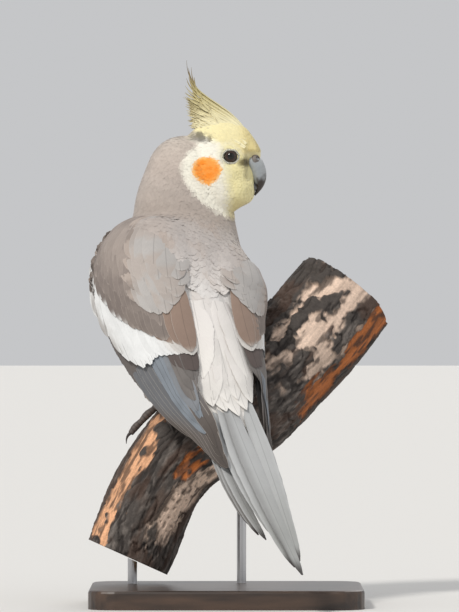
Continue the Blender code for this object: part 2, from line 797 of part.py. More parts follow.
def perch_surface(along, angle, lift=0.0):
    """A point on the bark. Angle 0 faces the camera's side (-Y) and a quarter turn is on top."""
    centre, _, across, above, radius = perch_frame(along)
    swell = sum(share * math.sin(count * angle + turn * along) for count, turn, share in PERCH_LUMPS)
    outward = across * math.cos(angle) + above * math.sin(angle)
    return centre + outward * (radius * (1 + swell) + lift)


def perch_shape(name, grow=0.0):
    rings = []
    for k in range(PERCH_RINGS):
        along = PERCH_LENGTH * k / (PERCH_RINGS - 1)
        ring = [perch_surface(along, 2 * math.pi * i / PERCH_SIDES, grow) for i in range(PERCH_SIDES)]
        if k in (0, PERCH_RINGS - 1):
            ahead = perch_frame(along)[1]
            ring = [p + ahead * (grow if k else -grow) for p in ring]
        rings.append(ring)
    return loft(name, rings, "charred_bark")


def tube(name, points, radii, colour, sides):
    """A round, tapering solid along points."""
    rings = []
    for i, (point, radius) in enumerate(zip(points, radii)):
        ahead = (points[min(i + 1, len(points) - 1)] - points[max(i - 1, 0)]).normalized()
        first = ahead.orthogonal().normalized()
        if rings:
            first = (last - ahead * last.dot(ahead)).normalized()
        last = first
        second = ahead.cross(first)
        turns = [2 * math.pi * k / sides for k in range(sides)]
        rings.append([point + (first * math.cos(a) + second * math.sin(a)) * radius for a in turns])
    return loft(name, rings, colour)


def toe(foot, run):
    """A toe and its claw, bent over the branch."""
    along, angle = foot
    lift = LONG_TOE_LIFT if abs(run[0]) > LONG_TOE else 0
    points, radii = [], []
    for k in range(TOE_STEPS):
        t = k / (TOE_STEPS - 1)
        knuckle = TOE_KNUCKLE_SWELL * math.sin(t * TOE_KNUCKLES * math.pi) ** 2
        radius = mix(*TOE_RADII, t) * (TOE_WAIST + knuckle)
        height = radius * TOE_SINK + TOE_CLEARANCE + lift * t
        points.append(perch_surface(along + run[0] * t, math.radians(angle + run[1] * t), height * MM))
        radii.append(radius * MM)
    claw_points, claw_radii = [], []
    ahead = (points[-1] - points[-2]).normalized()
    outward = (points[-1] - perch_frame(along + run[0])[0]).normalized()
    for k in range(CLAW_STEPS):
        t = k / (CLAW_STEPS - 1)
        height = CLAW_ARCH * math.sin(t * math.pi * 0.75) - CLAW_DROP * t * t
        reach = CLAW_LENGTH * t - CLAW_SINK
        claw_points.append(points[-1] + (ahead * reach + outward * height) * MM)
        claw_radii.append(mix(*CLAW_RADII, t) * MM)
    return [
        tube("toe", points, radii, "foot_skin", TOE_SIDES),
        tube("claw", claw_points, claw_radii, "foot_skin", CLAW_SIDES),
    ]


def make_leg(name):
    side = SIDES[name]
    foot = FEET[name]
    along, angle = foot["stand"]
    hip_along, hip_side, hip_back = foot["hip"]
    hip = body_point(hip_along, side * hip_side, hip_back)
    knee = body_point(hip_along + KNEE[0], side * (hip_side + KNEE[1]), hip_back + KNEE[2])
    sole = perch_surface(along, math.radians(angle), SOLE_HEIGHT)
    ankle = sole + (knee - sole).normalized() * ANKLE_HEIGHT
    thigh_end = mix(knee, ankle, THIGH_SHARE)
    thigh_points = [hip, mix(hip, knee, 0.5), knee, mix(knee, thigh_end, 0.5), thigh_end]
    thigh = tube("leg_" + name, thigh_points, THIGH_RADII, "plumage_grey", THIGH_SIDES)
    cut(thigh, [body_cutter(*LEG_CUTTER), perch_shape("perch_cutter", GAP)])
    shank_top = thigh_end + (ankle - thigh_end).normalized() * GAP
    shank_points = [shank_top, ankle, mix(ankle, sole, 0.6), sole]
    shank = tube("foot_" + name, shank_points, SHANK_RADII, "foot_skin", SHANK_SIDES)
    axes = (BODY_RIGHT, BODY_RIGHT.cross(UP), UP)
    pad = ellipsoid("pad", sole, FOOT_PAD, axes, "foot_skin", 10, 6)
    toes = [piece for run in foot["toes"] for piece in toe((along, angle), run)]
    fuse(shank, [pad, *toes])
    cut(shank, [perch_shape("perch_cutter", GAP)])


def crest_feather(row, k):
    """A crest feather: it lies back along the crown and curls up at its tip."""
    share = k / (CREST_IN_ROW - 1)
    root, bend, tip = (Vector(smooth_at(line, share)) for line in (CREST_ROOTS, CREST_BENDS, CREST_TIPS))
    if row:
        bend = root + (bend - root) * CREST_SIDE_SHARE
        tip = root + (tip - root) * CREST_SIDE_SHARE

    def spot(t):
        place = root * (1 - t) ** 2 + bend * (2 * t * (1 - t)) + tip * t * t
        return head_point(place.x * MM, row * mix(1, CREST_TIP_GATHER, t) * MM, place.y * MM)

    def facing(t):
        return HEAD_RIGHT * (0.35 * row) + UP + GAZE * 0.4

    return vane(spot, facing, CREST_VANE_WIDTH, VANE_CREST, "plumage_crest")


def make_crest():
    forward, height = CREST_PAD_PLACE
    lean = math.radians(CREST_PAD_LEAN_DEG)
    axis = GAZE * math.cos(lean) + UP * math.sin(lean)
    axes = (axis, HEAD_RIGHT, HEAD_RIGHT.cross(axis))
    crest = ellipsoid("crest", head_point(forward, 0, height), CREST_PAD, axes, "plumage_crest", 12, 8)
    fuse(crest, [crest_feather(row, k) for row in CREST_ROWS for k in range(CREST_IN_ROW)])
    cut(crest, [head_shape("head_cutter", GAP), body_cutter(*NECK_CUTTER)])


def make_stand():
    shape = bmesh.new()
    bmesh.ops.create_cube(shape, size=1)
    size = Matrix.Diagonal((BASE_LENGTH, BASE_WIDTH, BASE_THICKNESS, 1))
    place = Matrix.Translation((*BASE_CENTRE, BASE_THICKNESS / 2))
    bmesh.ops.transform(shape, matrix=place @ size, verts=shape.verts)
    upright = [e for e in shape.edges if abs(e.verts[0].co.z - e.verts[1].co.z) > BASE_THICKNESS / 2]
    bmesh.ops.bevel(shape, geom=upright, offset=BASE_CORNER, segments=6, profile=0.5, affect="EDGES")
    rim = [e for e in shape.edges if min(v.co.z for v in e.verts) > BASE_THICKNESS * 0.9]
    bmesh.ops.bevel(shape, geom=rim, offset=BASE_EDGE, segments=2, profile=0.5, affect="EDGES")
    mesh = bpy.data.meshes.new("stand_base")
    shape.to_mesh(mesh)
    shape.free()
    new_object("stand_base", mesh, "stand_wood")
    for name, (x, y, top) in RODS.items():
        low, high = BASE_THICKNESS + GAP, top * MM
        shape = bmesh.new()
        bmesh.ops.create_cone(
            shape, cap_ends=True, segments=16, radius1=ROD_RADIUS, radius2=ROD_RADIUS, depth=high - low
        )
        place = Matrix.Translation((x * MM, y * MM, (low + high) / 2))
        bmesh.ops.transform(shape, matrix=place, verts=shape.verts)
        mesh = bpy.data.meshes.new(name)
        shape.to_mesh(mesh)
        shape.free()
        cut(new_object(name, mesh, "stand_metal"), [perch_shape("perch_cutter", GAP)])


def make_body():
    body_loft("torso", NECK_BASE + 0.15, TORSO_END, 15, "plumage_grey")
    neck = body_loft("neck", NECK_TOP, NECK_BASE - 0.15, 8, "plumage_grey")
    cut(neck, [head_shape("head_cutter", GAP)])


def main():
    clear_scene()
    make_body()
    make_head()
    make_bill()
    make_crest()
    for side in SIDES.values():
        make_wing(side)
    make_tail()
    for name in SIDES:
        make_leg(name)
    perch_shape("perch")
    make_stand()
    # All of the places above are measured from a point beside the base's centre
    for obj in bpy.context.scene.objects:
        obj.data.transform(Matrix.Translation((-BASE_CENTRE[0], -BASE_CENTRE[1], 0)))


main()
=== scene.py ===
"""The looks of the cockatiel, its perch and its stand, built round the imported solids.

The bird's own sizes are in mm and measured, like those of its solids, from TABLE_ORIGIN.
"""

import math

import bmesh
import bpy
import numpy as np
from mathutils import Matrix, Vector
from mathutils.bvhtree import BVHTree
from mathutils.kdtree import KDTree


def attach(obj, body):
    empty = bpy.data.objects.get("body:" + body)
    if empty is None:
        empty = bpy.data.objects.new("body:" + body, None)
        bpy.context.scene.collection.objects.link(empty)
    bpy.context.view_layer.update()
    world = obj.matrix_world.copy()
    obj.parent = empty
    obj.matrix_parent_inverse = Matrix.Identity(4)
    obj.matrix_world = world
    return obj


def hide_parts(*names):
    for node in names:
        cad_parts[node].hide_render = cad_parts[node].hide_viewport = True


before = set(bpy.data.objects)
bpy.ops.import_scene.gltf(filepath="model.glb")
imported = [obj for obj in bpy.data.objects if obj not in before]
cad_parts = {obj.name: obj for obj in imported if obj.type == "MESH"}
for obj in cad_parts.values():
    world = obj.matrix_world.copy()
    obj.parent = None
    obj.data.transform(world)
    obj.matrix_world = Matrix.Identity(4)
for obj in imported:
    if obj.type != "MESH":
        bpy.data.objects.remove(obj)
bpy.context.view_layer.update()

MM = 0.001
TABLE_ORIGIN = np.array((-14.0, 15.0, 0.0))
SEED = 7
random = np.random.default_rng(SEED)
UP = np.array((0.0, 0.0, 1.0))
SIDES = {"left": -1, "right": 1}
# Keeps a division from meeting 0
TINY = 1e-9

# Body: distance along the spine (0 at the middle of the torso, growing towards the tail), then its point
BODY_RIGHT = np.array((0.873, 0.486, -0.032))
SPINE = (
    (-110, -2, 24, 247),
    (-99, -4, 24.5, 236.5),
    (-86, -6.5, 25.5, 223.5),
    (-73, -8.5, 25.5, 211.5),
    (-62, -8.8, 25.2, 202),
    (-47, -9.5, 21.5, 190.5),
    (-27, -11.5, 11.5, 175.5),
    (0, -10.5, -4, 154),
    (28, -3, -20, 131),
    (54, 7.5, -35, 110),
    (74, 16, -46.5, 95),
    (94, 24.5, -58, 79),
)
# Distance along the spine, half width, depth to the back and depth to the belly
BODY_SECTIONS = (
    (-110, 9.5, 7, 6),
    (-107, 17, 12.5, 10),
    (-99, 23.5, 18, 16),
    (-86, 26.5, 21, 20),
    (-73, 28.5, 22.5, 22),
    (-62, 30, 25, 24),
    (-47, 33.5, 28.5, 28),
    (-27, 36, 32.5, 32),
    (0, 37.5, 32.5, 32),
    (28, 33, 27.5, 26),
    (54, 23, 17.5, 17),
    (74, 14, 9, 9.5),
    (94, 8.5, 2.6, 3.2),
)
NECK_TOP = -110
TAIL_BASE_END = 88

# Head: distance along the gaze, height of the crown, height of the chin and half width
GAZE = np.array((math.cos(math.radians(-6)), math.sin(math.radians(-6)), 0.0))
HEAD_RIGHT = np.cross(GAZE, UP)
HEAD_CENTRE = np.array((12.0, 22.0, 236.0))
HEAD_SECTIONS = (
    (-21.0, 8.5, -7.5, 8.0),
    (-17.5, 14.0, -14.0, 12.5),
    (-12.0, 18.5, -20.5, 15.2),
    (-5.0, 21.0, -26.0, 16.3),
    (1.5, 21.3, -29.5, 15.8),
    (8.0, 19.6, -27.0, 13.8),
    (12.5, 17.0, -22.8, 11.8),
    (15.2, 13.6, -19.5, 9.8),
    (16.8, 11.4, -12.5, 8.8),
    (18.6, 8.4, -3.5, 7.2),
    (20.2, 5.4, -0.5, 4.6),
)
HEAD_NARROWING = 0.16

# Eye and lids
EYE_RADIUS = 3.7
EYE_PLACE = (5.4, 11.4, 0.9)
LID_OUT = 1.45
LID_TURN = (0.16, 0.1)
LID_APERTURE = (4.1, 3.85)
LID_THICKNESS = 0.52

# Bill: points on its ridge and its cutting edge (distance along the gaze, height) and its half width
BILL_UPPER = (
    ((14.0, 2.8), (11.0, -5.0), 5.2),
    ((17.5, 2.6), (13.0, -5.4), 5.7),
    ((20.6, 0.2), (14.4, -6.4), 5.7),
    ((22.5, -3.4), (15.2, -8.2), 5.2),
    ((23.4, -7.8), (16.2, -10.8), 4.4),
    ((22.9, -12.0), (17.2, -13.4), 3.4),
    ((21.0, -15.8), (17.8, -16.0), 2.2),
    ((17.5, -19.6), (16.8, -19.0), 0.7),
)
BILL_LOWER = (
    ((12.6, -8.0), (13.2, -16.0), 4.2),
    ((15.4, -9.6), (15.6, -17.0), 4.2),
    ((17.2, -12.2), (17.4, -17.0), 3.5),
    ((18.6, -14.4), (18.7, -16.4), 2.2),
)
CERE_CENTRE = (17.4, -0.9)
CERE_SIZE = (2.8, 5.7, 4.3)
NOSTRIL_PLACE = (19.5, 4.6, 0.6)

# Wing: distance along the spine, then (sideways, towards the back) for its lower and its upper edge
WING_EDGE = (
    (-50, 27, 6),
    (-40, 38, 2),
    (-26, 47.5, -2),
    (-8, 50.5, -4),
    (10, 48, -6),
    (30, 43, -8),
    (55, 35, -8),
    (78, 26.5, -5),
)
WING_BACK = (
    (-50, 15, 24),
    (-30, 12.5, 32),
    (-10, 10.5, 35),
    (10, 12, 33),
    (30, 15.5, 28),
    (50, 18.5, 22),
)
WING_TIP_EDGE = {
    -1: ((98, 26.5, 2), (116, 22, 9)),
    1: ((80, 26, -7), (98, 21, -8), (116, 14, -9)),
}
WING_TIP_BACK = {
    -1: ((74, 23, 13), (94, 23.5, 11), (116, 20, 10.5)),
    1: ((62, 21.5, 14), (76, 22, 6), (94, 18, -3), (116, 12, -8)),
}
WING_CORNER = 0.94
WING_BASE_SPAN = (-48, 44)
WING_BASE_TOP = ((-50, -1.5), (-30, -1.5), (-12, -2.0), (8, -3.2), (44, -4.6))
WING_BASE_DEPTH = ((-50, 9.0), (0, 13.0), (20, 9.0), (44, 2.4))


def smooth_at(table, t):
    """Rows of values at t on a smooth curve through a table whose rows start with their own t."""
    rows = np.array(table, float)
    keys, values = rows[:, 0], rows[:, 1:]
    t = np.clip(np.asarray(t, float), keys[0], keys[-1])
    i = np.clip(np.searchsorted(keys, t, side="right") - 1, 0, len(keys) - 2)
    before = np.maximum(np.arange(len(keys)) - 1, 0)
    after = np.minimum(np.arange(len(keys)) + 1, len(keys) - 1)
    slopes = (values[after] - values[before]) / (keys[after] - keys[before])[:, None]
    span = (keys[i + 1] - keys[i])[..., None]
    x = (t - keys[i])[..., None] / span
    return (
        (2 * x**3 - 3 * x**2 + 1) * values[i]
        + (x**3 - 2 * x**2 + x) * span * slopes[i]
        + (3 * x**2 - 2 * x**3) * values[i + 1]
        + (x**3 - x**2) * span * slopes[i + 1]
    )


def mix(a, b, t):
    return a + (b - a) * t


def ramp(t, start, end):
    x = np.clip((np.asarray(t, float) - start) / (end - start), 0, 1)
    return x * x * (3 - 2 * x)


def unit(vectors):
    return vectors / np.maximum(np.linalg.norm(vectors, axis=-1, keepdims=True), TINY)


def dot(a, b):
    return (a * b).sum(axis=-1, keepdims=True)


def srgb(r, g, b):
    """A colour from its usual 0 to 255 values, as the linear one that shaders take."""
    c = np.array((r, g, b), float) / 255
    return np.where(c <= 0.04045, c / 12.92, ((c + 0.055) / 1.055) ** 2.4)


LATTICE = np.random.default_rng(SEED + 1).random((64, 64, 64))


def noise(points, size, seed=0):
    """Smooth noise from 0 to 1 in space, whose lumps are about size wide."""
    p = np.asarray(points, float) / size + seed * 17.31
    cell = np.floor(p).astype(int)
    f = p - cell
    f = f * f * (3 - 2 * f)
    total = 0.0
    for corner in np.ndindex(2, 2, 2):
        c = np.array(corner)
        weight = np.prod(np.where(c, f, 1 - f), axis=-1)
        index = (cell + c) & 63
        total = total + weight * LATTICE[index[..., 0], index[..., 1], index[..., 2]]
    return total


def layered_noise(points, size, seed=0, layers=3):
    total, weight = 0.0, 0.0
    for k in range(layers):
        share = 0.5**k
        total = total + noise(points, size * share, seed + k) * share
        weight += share
    return total / weight


def spine_frame(along):
    """Points of the spine, and the directions to the tail, to the right and to the back there."""
    along = np.asarray(along)
    tailward = unit(smooth_at(SPINE, along + 1.0) - smooth_at(SPINE, along - 1.0))
    right = unit(BODY_RIGHT - tailward * dot(tailward, BODY_RIGHT))
    return smooth_at(SPINE, along), tailward, right, np.cross(tailward, right)


def body_point(along, sideways, backward):
    end = SPINE[-1][0]
    along = np.asarray(along, float)
    point, tailward, right, back = spine_frame(np.minimum(along, end))
    beyond = np.maximum(along - end, 0)[..., None]
    sideways = np.asarray(sideways)[..., None]
    backward = np.asarray(backward)[..., None]
    return point + tailward * beyond + right * sideways + back * backward


def head_point(forward, sideways, height):
    forward, sideways, height = (np.asarray(v, float)[..., None] for v in (forward, sideways, height))
    return HEAD_CENTRE + GAZE * forward + HEAD_RIGHT * sideways + UP * height


def head_place(points):
    """Distance along the gaze, sideways and height of points, from the head's centre."""
    rel = points - HEAD_CENTRE
    return rel @ GAZE, rel @ HEAD_RIGHT, rel @ UP


SPINE_STEPS = np.arange(NECK_TOP, SPINE[-1][0] + 0.5)
SPINE_POINTS = smooth_at(SPINE, SPINE_STEPS)


def body_place(points):
    """Distance along the spine, sideways and towards the back of points."""
    along = np.empty(len(points))
    block = 8000
    for start in range(0, len(points), block):
        part = points[start : start + block]
        far = ((part[:, None] - SPINE_POINTS[None]) ** 2).sum(axis=-1)
        along[start : start + block] = SPINE_STEPS[far.argmin(axis=1)]
    point, tailward, right, back = spine_frame(along)
    rel = points - point
    along = along + (rel * tailward).sum(axis=-1)
    return along, (rel * right).sum(axis=-1), (rel * back).sum(axis=-1)


def wing_surface(side, along, across, lift=0.0):
    """Points on the folded wing's outer surface. Across is 0 at its lower edge and 1 at its upper edge."""
    low = smooth_at(WING_EDGE + WING_TIP_EDGE[side], along)
    high = smooth_at(WING_BACK + WING_TIP_BACK[side], along)
    corner = np.maximum(low, high) * WING_CORNER
    q = np.asarray(across, float)[..., None]
    flat = low * (1 - q) ** 2 + corner * 2 * q * (1 - q) + high * q**2
    slope = 2 * (1 - q) * (corner - low) + 2 * q * (high - corner)
    length = np.maximum(np.hypot(slope[..., 0], slope[..., 1]), TINY)
    out = np.stack((slope[..., 1], -slope[..., 0]), axis=-1) / length[..., None]
    flat = flat + out * np.asarray(lift, float)[..., None]
    return body_point(along, side * flat[..., 0], flat[..., 1])


def wing_normal(side, along, across):
    return unit(wing_surface(side, along, across, 1.0) - wing_surface(side, along, across, 0.0))


def set_points(mesh, points):
    mesh.vertices.foreach_set("co", ((points + TABLE_ORIGIN) * MM).astype(np.float32).ravel())


def points_of(mesh):
    """A mesh's points in mm."""
    places = np.empty(len(mesh.vertices) * 3, np.float32)
    mesh.vertices.foreach_get("co", places)
    return places.reshape(-1, 3).astype(float) / MM - TABLE_ORIGIN


def set_tint(mesh, tint):
    """Keeps a colour for each point of a mesh, which its material reads."""
    layer = mesh.color_attributes.new(name="tint", type="FLOAT_COLOR", domain="POINT")
    colours = np.concatenate((np.clip(tint, 0, 1), np.ones((len(tint), 1))), axis=1)
    layer.data.foreach_set("color", colours.astype(np.float32).ravel())


def make_mesh(name, points, faces, uvs=None, tint=None):
    """An object from points in mm. faces is a list of index arrays, each for one number of corners."""
    mesh = bpy.data.meshes.new(name)
    faces = [np.asarray(f) for f in faces if len(f)]
    sizes = np.concatenate([np.full(len(f), f.shape[1]) for f in faces])
    corners = np.concatenate([f.ravel() for f in faces]).astype(np.int32)
    mesh.vertices.add(len(points))
    set_points(mesh, points)
    mesh.loops.add(len(corners))
    mesh.loops.foreach_set("vertex_index", corners)
    mesh.polygons.add(len(sizes))
    mesh.polygons.foreach_set("loop_start", (np.cumsum(sizes) - sizes).astype(np.int32))
    mesh.update(calc_edges=True)
    for map_name, values in (uvs or {}).items():
        layer = mesh.uv_layers.new(name=map_name)
        layer.uv.foreach_set("vector", values[corners].astype(np.float32).ravel())
    if tint is not None:
        set_tint(mesh, tint)
    mesh.shade_smooth()
    obj = bpy.data.objects.new(name, mesh)
    bpy.context.scene.collection.objects.link(obj)
    return obj


def dress(obj, material, slot, *nodes):
    """Gives a piece its material, and sets it on the part's one body; slot is not used."""
    obj.data.materials.clear()
    obj.data.materials.append(material)
    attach(obj, "root")
    if nodes:
        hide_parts(*nodes)
    return obj


def grid_faces(rows, columns):
    """Quads between closed rows of points, row after row."""
    r, c = np.meshgrid(np.arange(rows - 1), np.arange(columns), indexing="ij")
    here, after = r * columns + c, r * columns + (c + 1) % columns
    return np.stack((here, after, after + columns, here + columns), axis=-1).reshape(-1, 4)


def loft_mesh(name, rings, tint=None):
    """A closed surface through rings (an array of rows, columns, 3), with flat ends."""
    rows, columns = rings.shape[:2]
    ends = [np.arange(columns)[None, ::-1], (rows - 1) * columns + np.arange(columns)[None]]
    tint = None if tint is None else tint.reshape(-1, 3)
    return make_mesh(name, rings.reshape(-1, 3), [grid_faces(rows, columns), *ends], tint=tint)


def fix_normals(obj):
    shape = bmesh.new()
    shape.from_mesh(obj.data)
    bmesh.ops.recalc_face_normals(shape, faces=shape.faces)
    shape.to_mesh(obj.data)
    shape.free()
    return obj


def apply_modifiers(obj):
    graph = bpy.context.evaluated_depsgraph_get()
    mesh = bpy.data.meshes.new_from_object(obj.evaluated_get(graph))
    obj.modifiers.clear()
    obj.data = mesh
    return obj


def join(name, objects):
    """One object from several, which are removed."""
    shape = bmesh.new()
    for obj in objects:
        shape.from_mesh(obj.data)
    mesh = bpy.data.meshes.new(name)
    shape.to_mesh(mesh)
    shape.free()
    for obj in objects:
        bpy.data.objects.remove(obj)
    joined = bpy.data.objects.new(name, mesh)
    bpy.context.scene.collection.objects.link(joined)
    return joined


# How wide a feather is along its length, as pairs of place and share of the widest
ROUND_TIP = ((0, 0.35), (0.25, 0.8), (0.6, 1.0), (0.82, 0.88), (0.93, 0.6), (1.0, 0.12))
POINTED_TIP = ((0, 0.35), (0.25, 0.85), (0.5, 1.0), (0.72, 0.82), (0.9, 0.4), (1.0, 0.04))
FLIGHT_TIP = ((0, 0.55), (0.3, 1.0), (0.72, 0.96), (0.88, 0.74), (0.96, 0.44), (1.0, 0.08))
SQUARE_TIP = ((0, 0.5), (0.3, 0.95), (0.8, 1.0), (0.93, 0.84), (0.98, 0.6), (1.0, 0.3))
TAIL_TIP_SHAPE = ((0, 0.6), (0.3, 1.0), (0.55, 0.92), (0.8, 0.66), (0.94, 0.42), (1.0, 0.1))
PLUME_TIP = ((0, 0.6), (0.3, 1.0), (0.6, 0.8), (0.85, 0.45), (1.0, 0.05))
TIP_CROWDING = 1.35


def vane_rows(shape, count):
    """Places along a feather, closer together at its tip, and its widths there."""
    places = 1 - (1 - np.linspace(0, 1, count)) ** TIP_CROWDING
    return places, smooth_at(shape, places)[:, 0]


def vanes(lines, facing, widths, columns, camber, thickness, tilt=0.0, double=True):
    """Points of feathers along lines (feather, row, 3), their place on the feather and the faces' indices.

    columns run from -1 to 1 across a feather. With double its lower side is a second layer, and otherwise
    one flat face from edge to edge. Camber is a share of the width.
    """
    count, rows = lines.shape[:2]
    tilt = np.broadcast_to(np.asarray(tilt, float), (count,))[:, None, None]
    ahead = unit(np.gradient(lines, axis=1))
    level = unit(facing - ahead * dot(ahead, facing))
    flat = np.cross(ahead, level)
    across = (flat * np.cos(tilt) + level * np.sin(tilt))[:, :, None]
    normals = (level * np.cos(tilt) - flat * np.sin(tilt))[:, :, None]
    s = np.asarray(columns, float)
    half = widths[..., None] / 2
    side = half * s
    drop = half * 2 * camber * s**2
    points = lines[:, :, None] + across * side[..., None] - normals * drop[..., None]
    ring = list(range(len(s)))
    if double:
        depth = thickness * (1 - s[1:-1] ** 2)
        lower = points[:, :, 1:-1] - normals * depth[None, None, :, None]
        points = np.concatenate((points, lower), axis=2)
        side = np.concatenate((side, side[..., 1:-1]), axis=2)
        ring = ring + list(range(2 * len(s) - 3, len(s) - 1, -1))
    size = points.shape[2]
    steps = np.linalg.norm(np.diff(lines, axis=1), axis=-1)
    length = np.concatenate((np.zeros((count, 1)), np.cumsum(steps, axis=1)), axis=1)
    length = np.broadcast_to(length[..., None], side.shape)
    ring = np.array(ring)
    turned = np.roll(ring, -1)
    row = np.arange(rows - 1)[:, None] * size
    one = np.stack((row + ring, row + turned, row + size + turned, row + size + ring), axis=-1).reshape(-1, 4)
    starts = np.arange(count)[:, None, None] * rows * size
    quads = (starts + one[None, ::, ::-1]).reshape(-1, 4)
    caps = np.stack((ring, (rows - 1) * size + ring[::-1]))
    caps = (starts + caps[None]).reshape(-1, len(ring))
    return points, side, length, [quads, caps]


# Barbs and veins: the vane map counts in these many mm
VANE_MAP_UNIT = 10.0
TUFT_PATCH = 0.003
SHARP_ANGLE = math.radians(50)
# The box of the bake's square (u, v, width, height) that large feathers fill
BAKE_ALL = (0.01, 0.01, 0.98, 0.98)
BAKE_FILL = 0.94


def feather_piece(name, made, tint, homes, patch=TUFT_PATCH):
    """A piece from vanes. tint holds each point's colour, homes each feather's place on the bake's map."""
    points, u, v, faces = made
    span_u = np.maximum(np.abs(u).max(axis=(1, 2), keepdims=True), TINY)
    span_v = np.maximum(v.max(axis=(1, 2), keepdims=True), TINY)
    patch = np.broadcast_to(np.asarray(patch, float), (2,))
    bake = np.stack((u / span_u * 0.5 * patch[0], (v / span_v - 0.5) * patch[1]), axis=-1)
    bake = bake + homes[:, None, None]
    vane_map = np.stack((u, v), axis=-1) / VANE_MAP_UNIT
    uvs = {"OFBake": bake.reshape(-1, 2), "vane": vane_map.reshape(-1, 2)}
    obj = make_mesh(name, points.reshape(-1, 3), faces, uvs, tint.reshape(-1, 3))
    obj.data.set_sharp_from_angle(angle=SHARP_ANGLE)
    return obj


# Depth of the finest relief in materials, in metres
FINE_RELIEF = 0.0002


def add_node(tree, kind, values=(), **settings):
    """A shader node. values maps its inputs to numbers or to other nodes' outputs."""
    made = tree.nodes.new(kind)
    for key, value in settings.items():
        setattr(made, key, value)
    for key, value in dict(values).items():
        if isinstance(value, bpy.types.NodeSocket):
            tree.links.new(value, made.inputs[key])
        else:
            made.inputs[key].default_value = value
    return made


def calculate(tree, operation, *values):
    return add_node(tree, "ShaderNodeMath", enumerate(values), operation=operation).outputs[0]


def new_material(name, roughness, **shader_values):
    made = bpy.data.materials.new(name)
    made.use_nodes = True
    shader = made.node_tree.nodes["Principled BSDF"]
    shader.inputs["Roughness"].default_value = roughness
    for key, value in shader_values.items():
        shader.inputs[key.replace("_", " ")].default_value = value
    return made, made.node_tree, shader


def tint_of(tree):
    """The mesh's own colours."""
    return add_node(tree, "ShaderNodeAttribute", attribute_name="tint").outputs["Color"]


def place_of(tree):
    """Places on the object, in metres."""
    return add_node(tree, "ShaderNodeTexCoord").outputs["Object"]


def stretched_place(tree, scale):
    return add_node(tree, "ShaderNodeMapping", {"Vector": place_of(tree), "Scale": scale}).outputs[0]


def noise_node(tree, place, scale, detail, roughness=0.5):
    values = {"Vector": place, "Scale": scale, "Detail": detail, "Roughness": roughness}
    return add_node(tree, "ShaderNodeTexNoise", values).outputs[0]


def level_of(tree, pattern, share):
    """A factor round 1 from a pattern round a half."""
    return calculate(tree, "MULTIPLY_ADD", calculate(tree, "SUBTRACT", pattern, 0.5), share * 4, 1.0)


def colour_shader(tree, shader, level):
    """Colours a material with the mesh's own colours times a factor."""
    values = {0: tint_of(tree), "Scale": level}
    colour = add_node(tree, "ShaderNodeVectorMath", values, operation="SCALE").outputs[0]
    tree.links.new(colour, shader.inputs["Base Color"])


def bump_shader(tree, shader, height, strength, distance=FINE_RELIEF):
    values = {"Height": height, "Strength": strength, "Distance": distance}
    tree.links.new(add_node(tree, "ShaderNodeBump", values).outputs[0], shader.inputs["Normal"])


# Feathers' finishes: roughness, how much the barbs show, their size in mm, the shaft's darkness, bump, sheen
FEATHER_FINISHES = {
    "coat_finish": (0.85, 0.06, 0.35, 0.0, 0.15, 0.25),
    "wing_finish": (0.7, 0.07, 0.3, 0.25, 0.3, 0.1),
    "tail_finish": (0.65, 0.05, 0.3, 0.25, 0.25, 0.1),
    "crest_finish": (0.8, 0.09, 0.25, 0.1, 0.2, 0.15),
}
BARB_SLANT = 1.3
BARB_STRETCH = 0.12
# The shaft's inner and outer edge on the vane map
SHAFT_EDGES = (0.012, 0.03)


def feather_material(name):
    """Barbs run from the shaft to the edges in fine slanting lines, as colour and bump."""
    roughness, barb_share, barb_size, shaft, bump, sheen = FEATHER_FINISHES[name]
    made, tree, shader = new_material(name, roughness, Sheen_Weight=sheen, Specular_IOR_Level=0.3)
    place = add_node(tree, "ShaderNodeUVMap", uv_map="vane").outputs[0]
    parts = add_node(tree, "ShaderNodeSeparateXYZ", {0: place}).outputs
    out = calculate(tree, "ABSOLUTE", parts[0])
    slant = calculate(tree, "SUBTRACT", parts[1], calculate(tree, "MULTIPLY", out, BARB_SLANT))
    stretched = calculate(tree, "MULTIPLY", parts[0], BARB_STRETCH)
    spot = add_node(tree, "ShaderNodeCombineXYZ", {0: slant, 1: stretched}).outputs[0]
    barbs = noise_node(tree, spot, VANE_MAP_UNIT / barb_size, 2.0)
    level = level_of(tree, barbs, barb_share)
    if shaft:
        values = {0: out, 1: SHAFT_EDGES[0], 2: SHAFT_EDGES[1], 3: 1.0 - shaft, 4: 1.0}
        near = add_node(tree, "ShaderNodeMapRange", values, interpolation_type="SMOOTHSTEP").outputs[0]
        level = calculate(tree, "MULTIPLY", level, near)
    colour_shader(tree, shader, level)
    bump_shader(tree, shader, barbs, bump)
    return made


# Camera: the photograph's view, level and from far away
CAMERA_PLACE = (0.0016, -2.985, 0.1576)
CAMERA_LENS = 332.96
SENSOR_WIDTH = 36.0

# Studio: the floor's tone, the sky's tone and strength, and each light's direction to it, strength,
# softness in degrees and tone
FLOOR_RADIUS = 12
FLOOR_TONE = (0.7, 0.69, 0.67, 1)
SKY_TONE = (0.93, 0.94, 0.96, 1)
SKY_STRENGTH = 0.6
LIGHTS = {
    "key_light": ((-0.5, -0.72, 0.78), 2.1, 9, (1.0, 0.97, 0.92)),
    "fill_light": ((0.8, -0.5, 0.35), 0.25, 60, (0.94, 0.97, 1.0)),
    "rim_light": ((0.3, 0.9, 0.7), 0.5, 40, (1.0, 0.98, 0.95)),
}

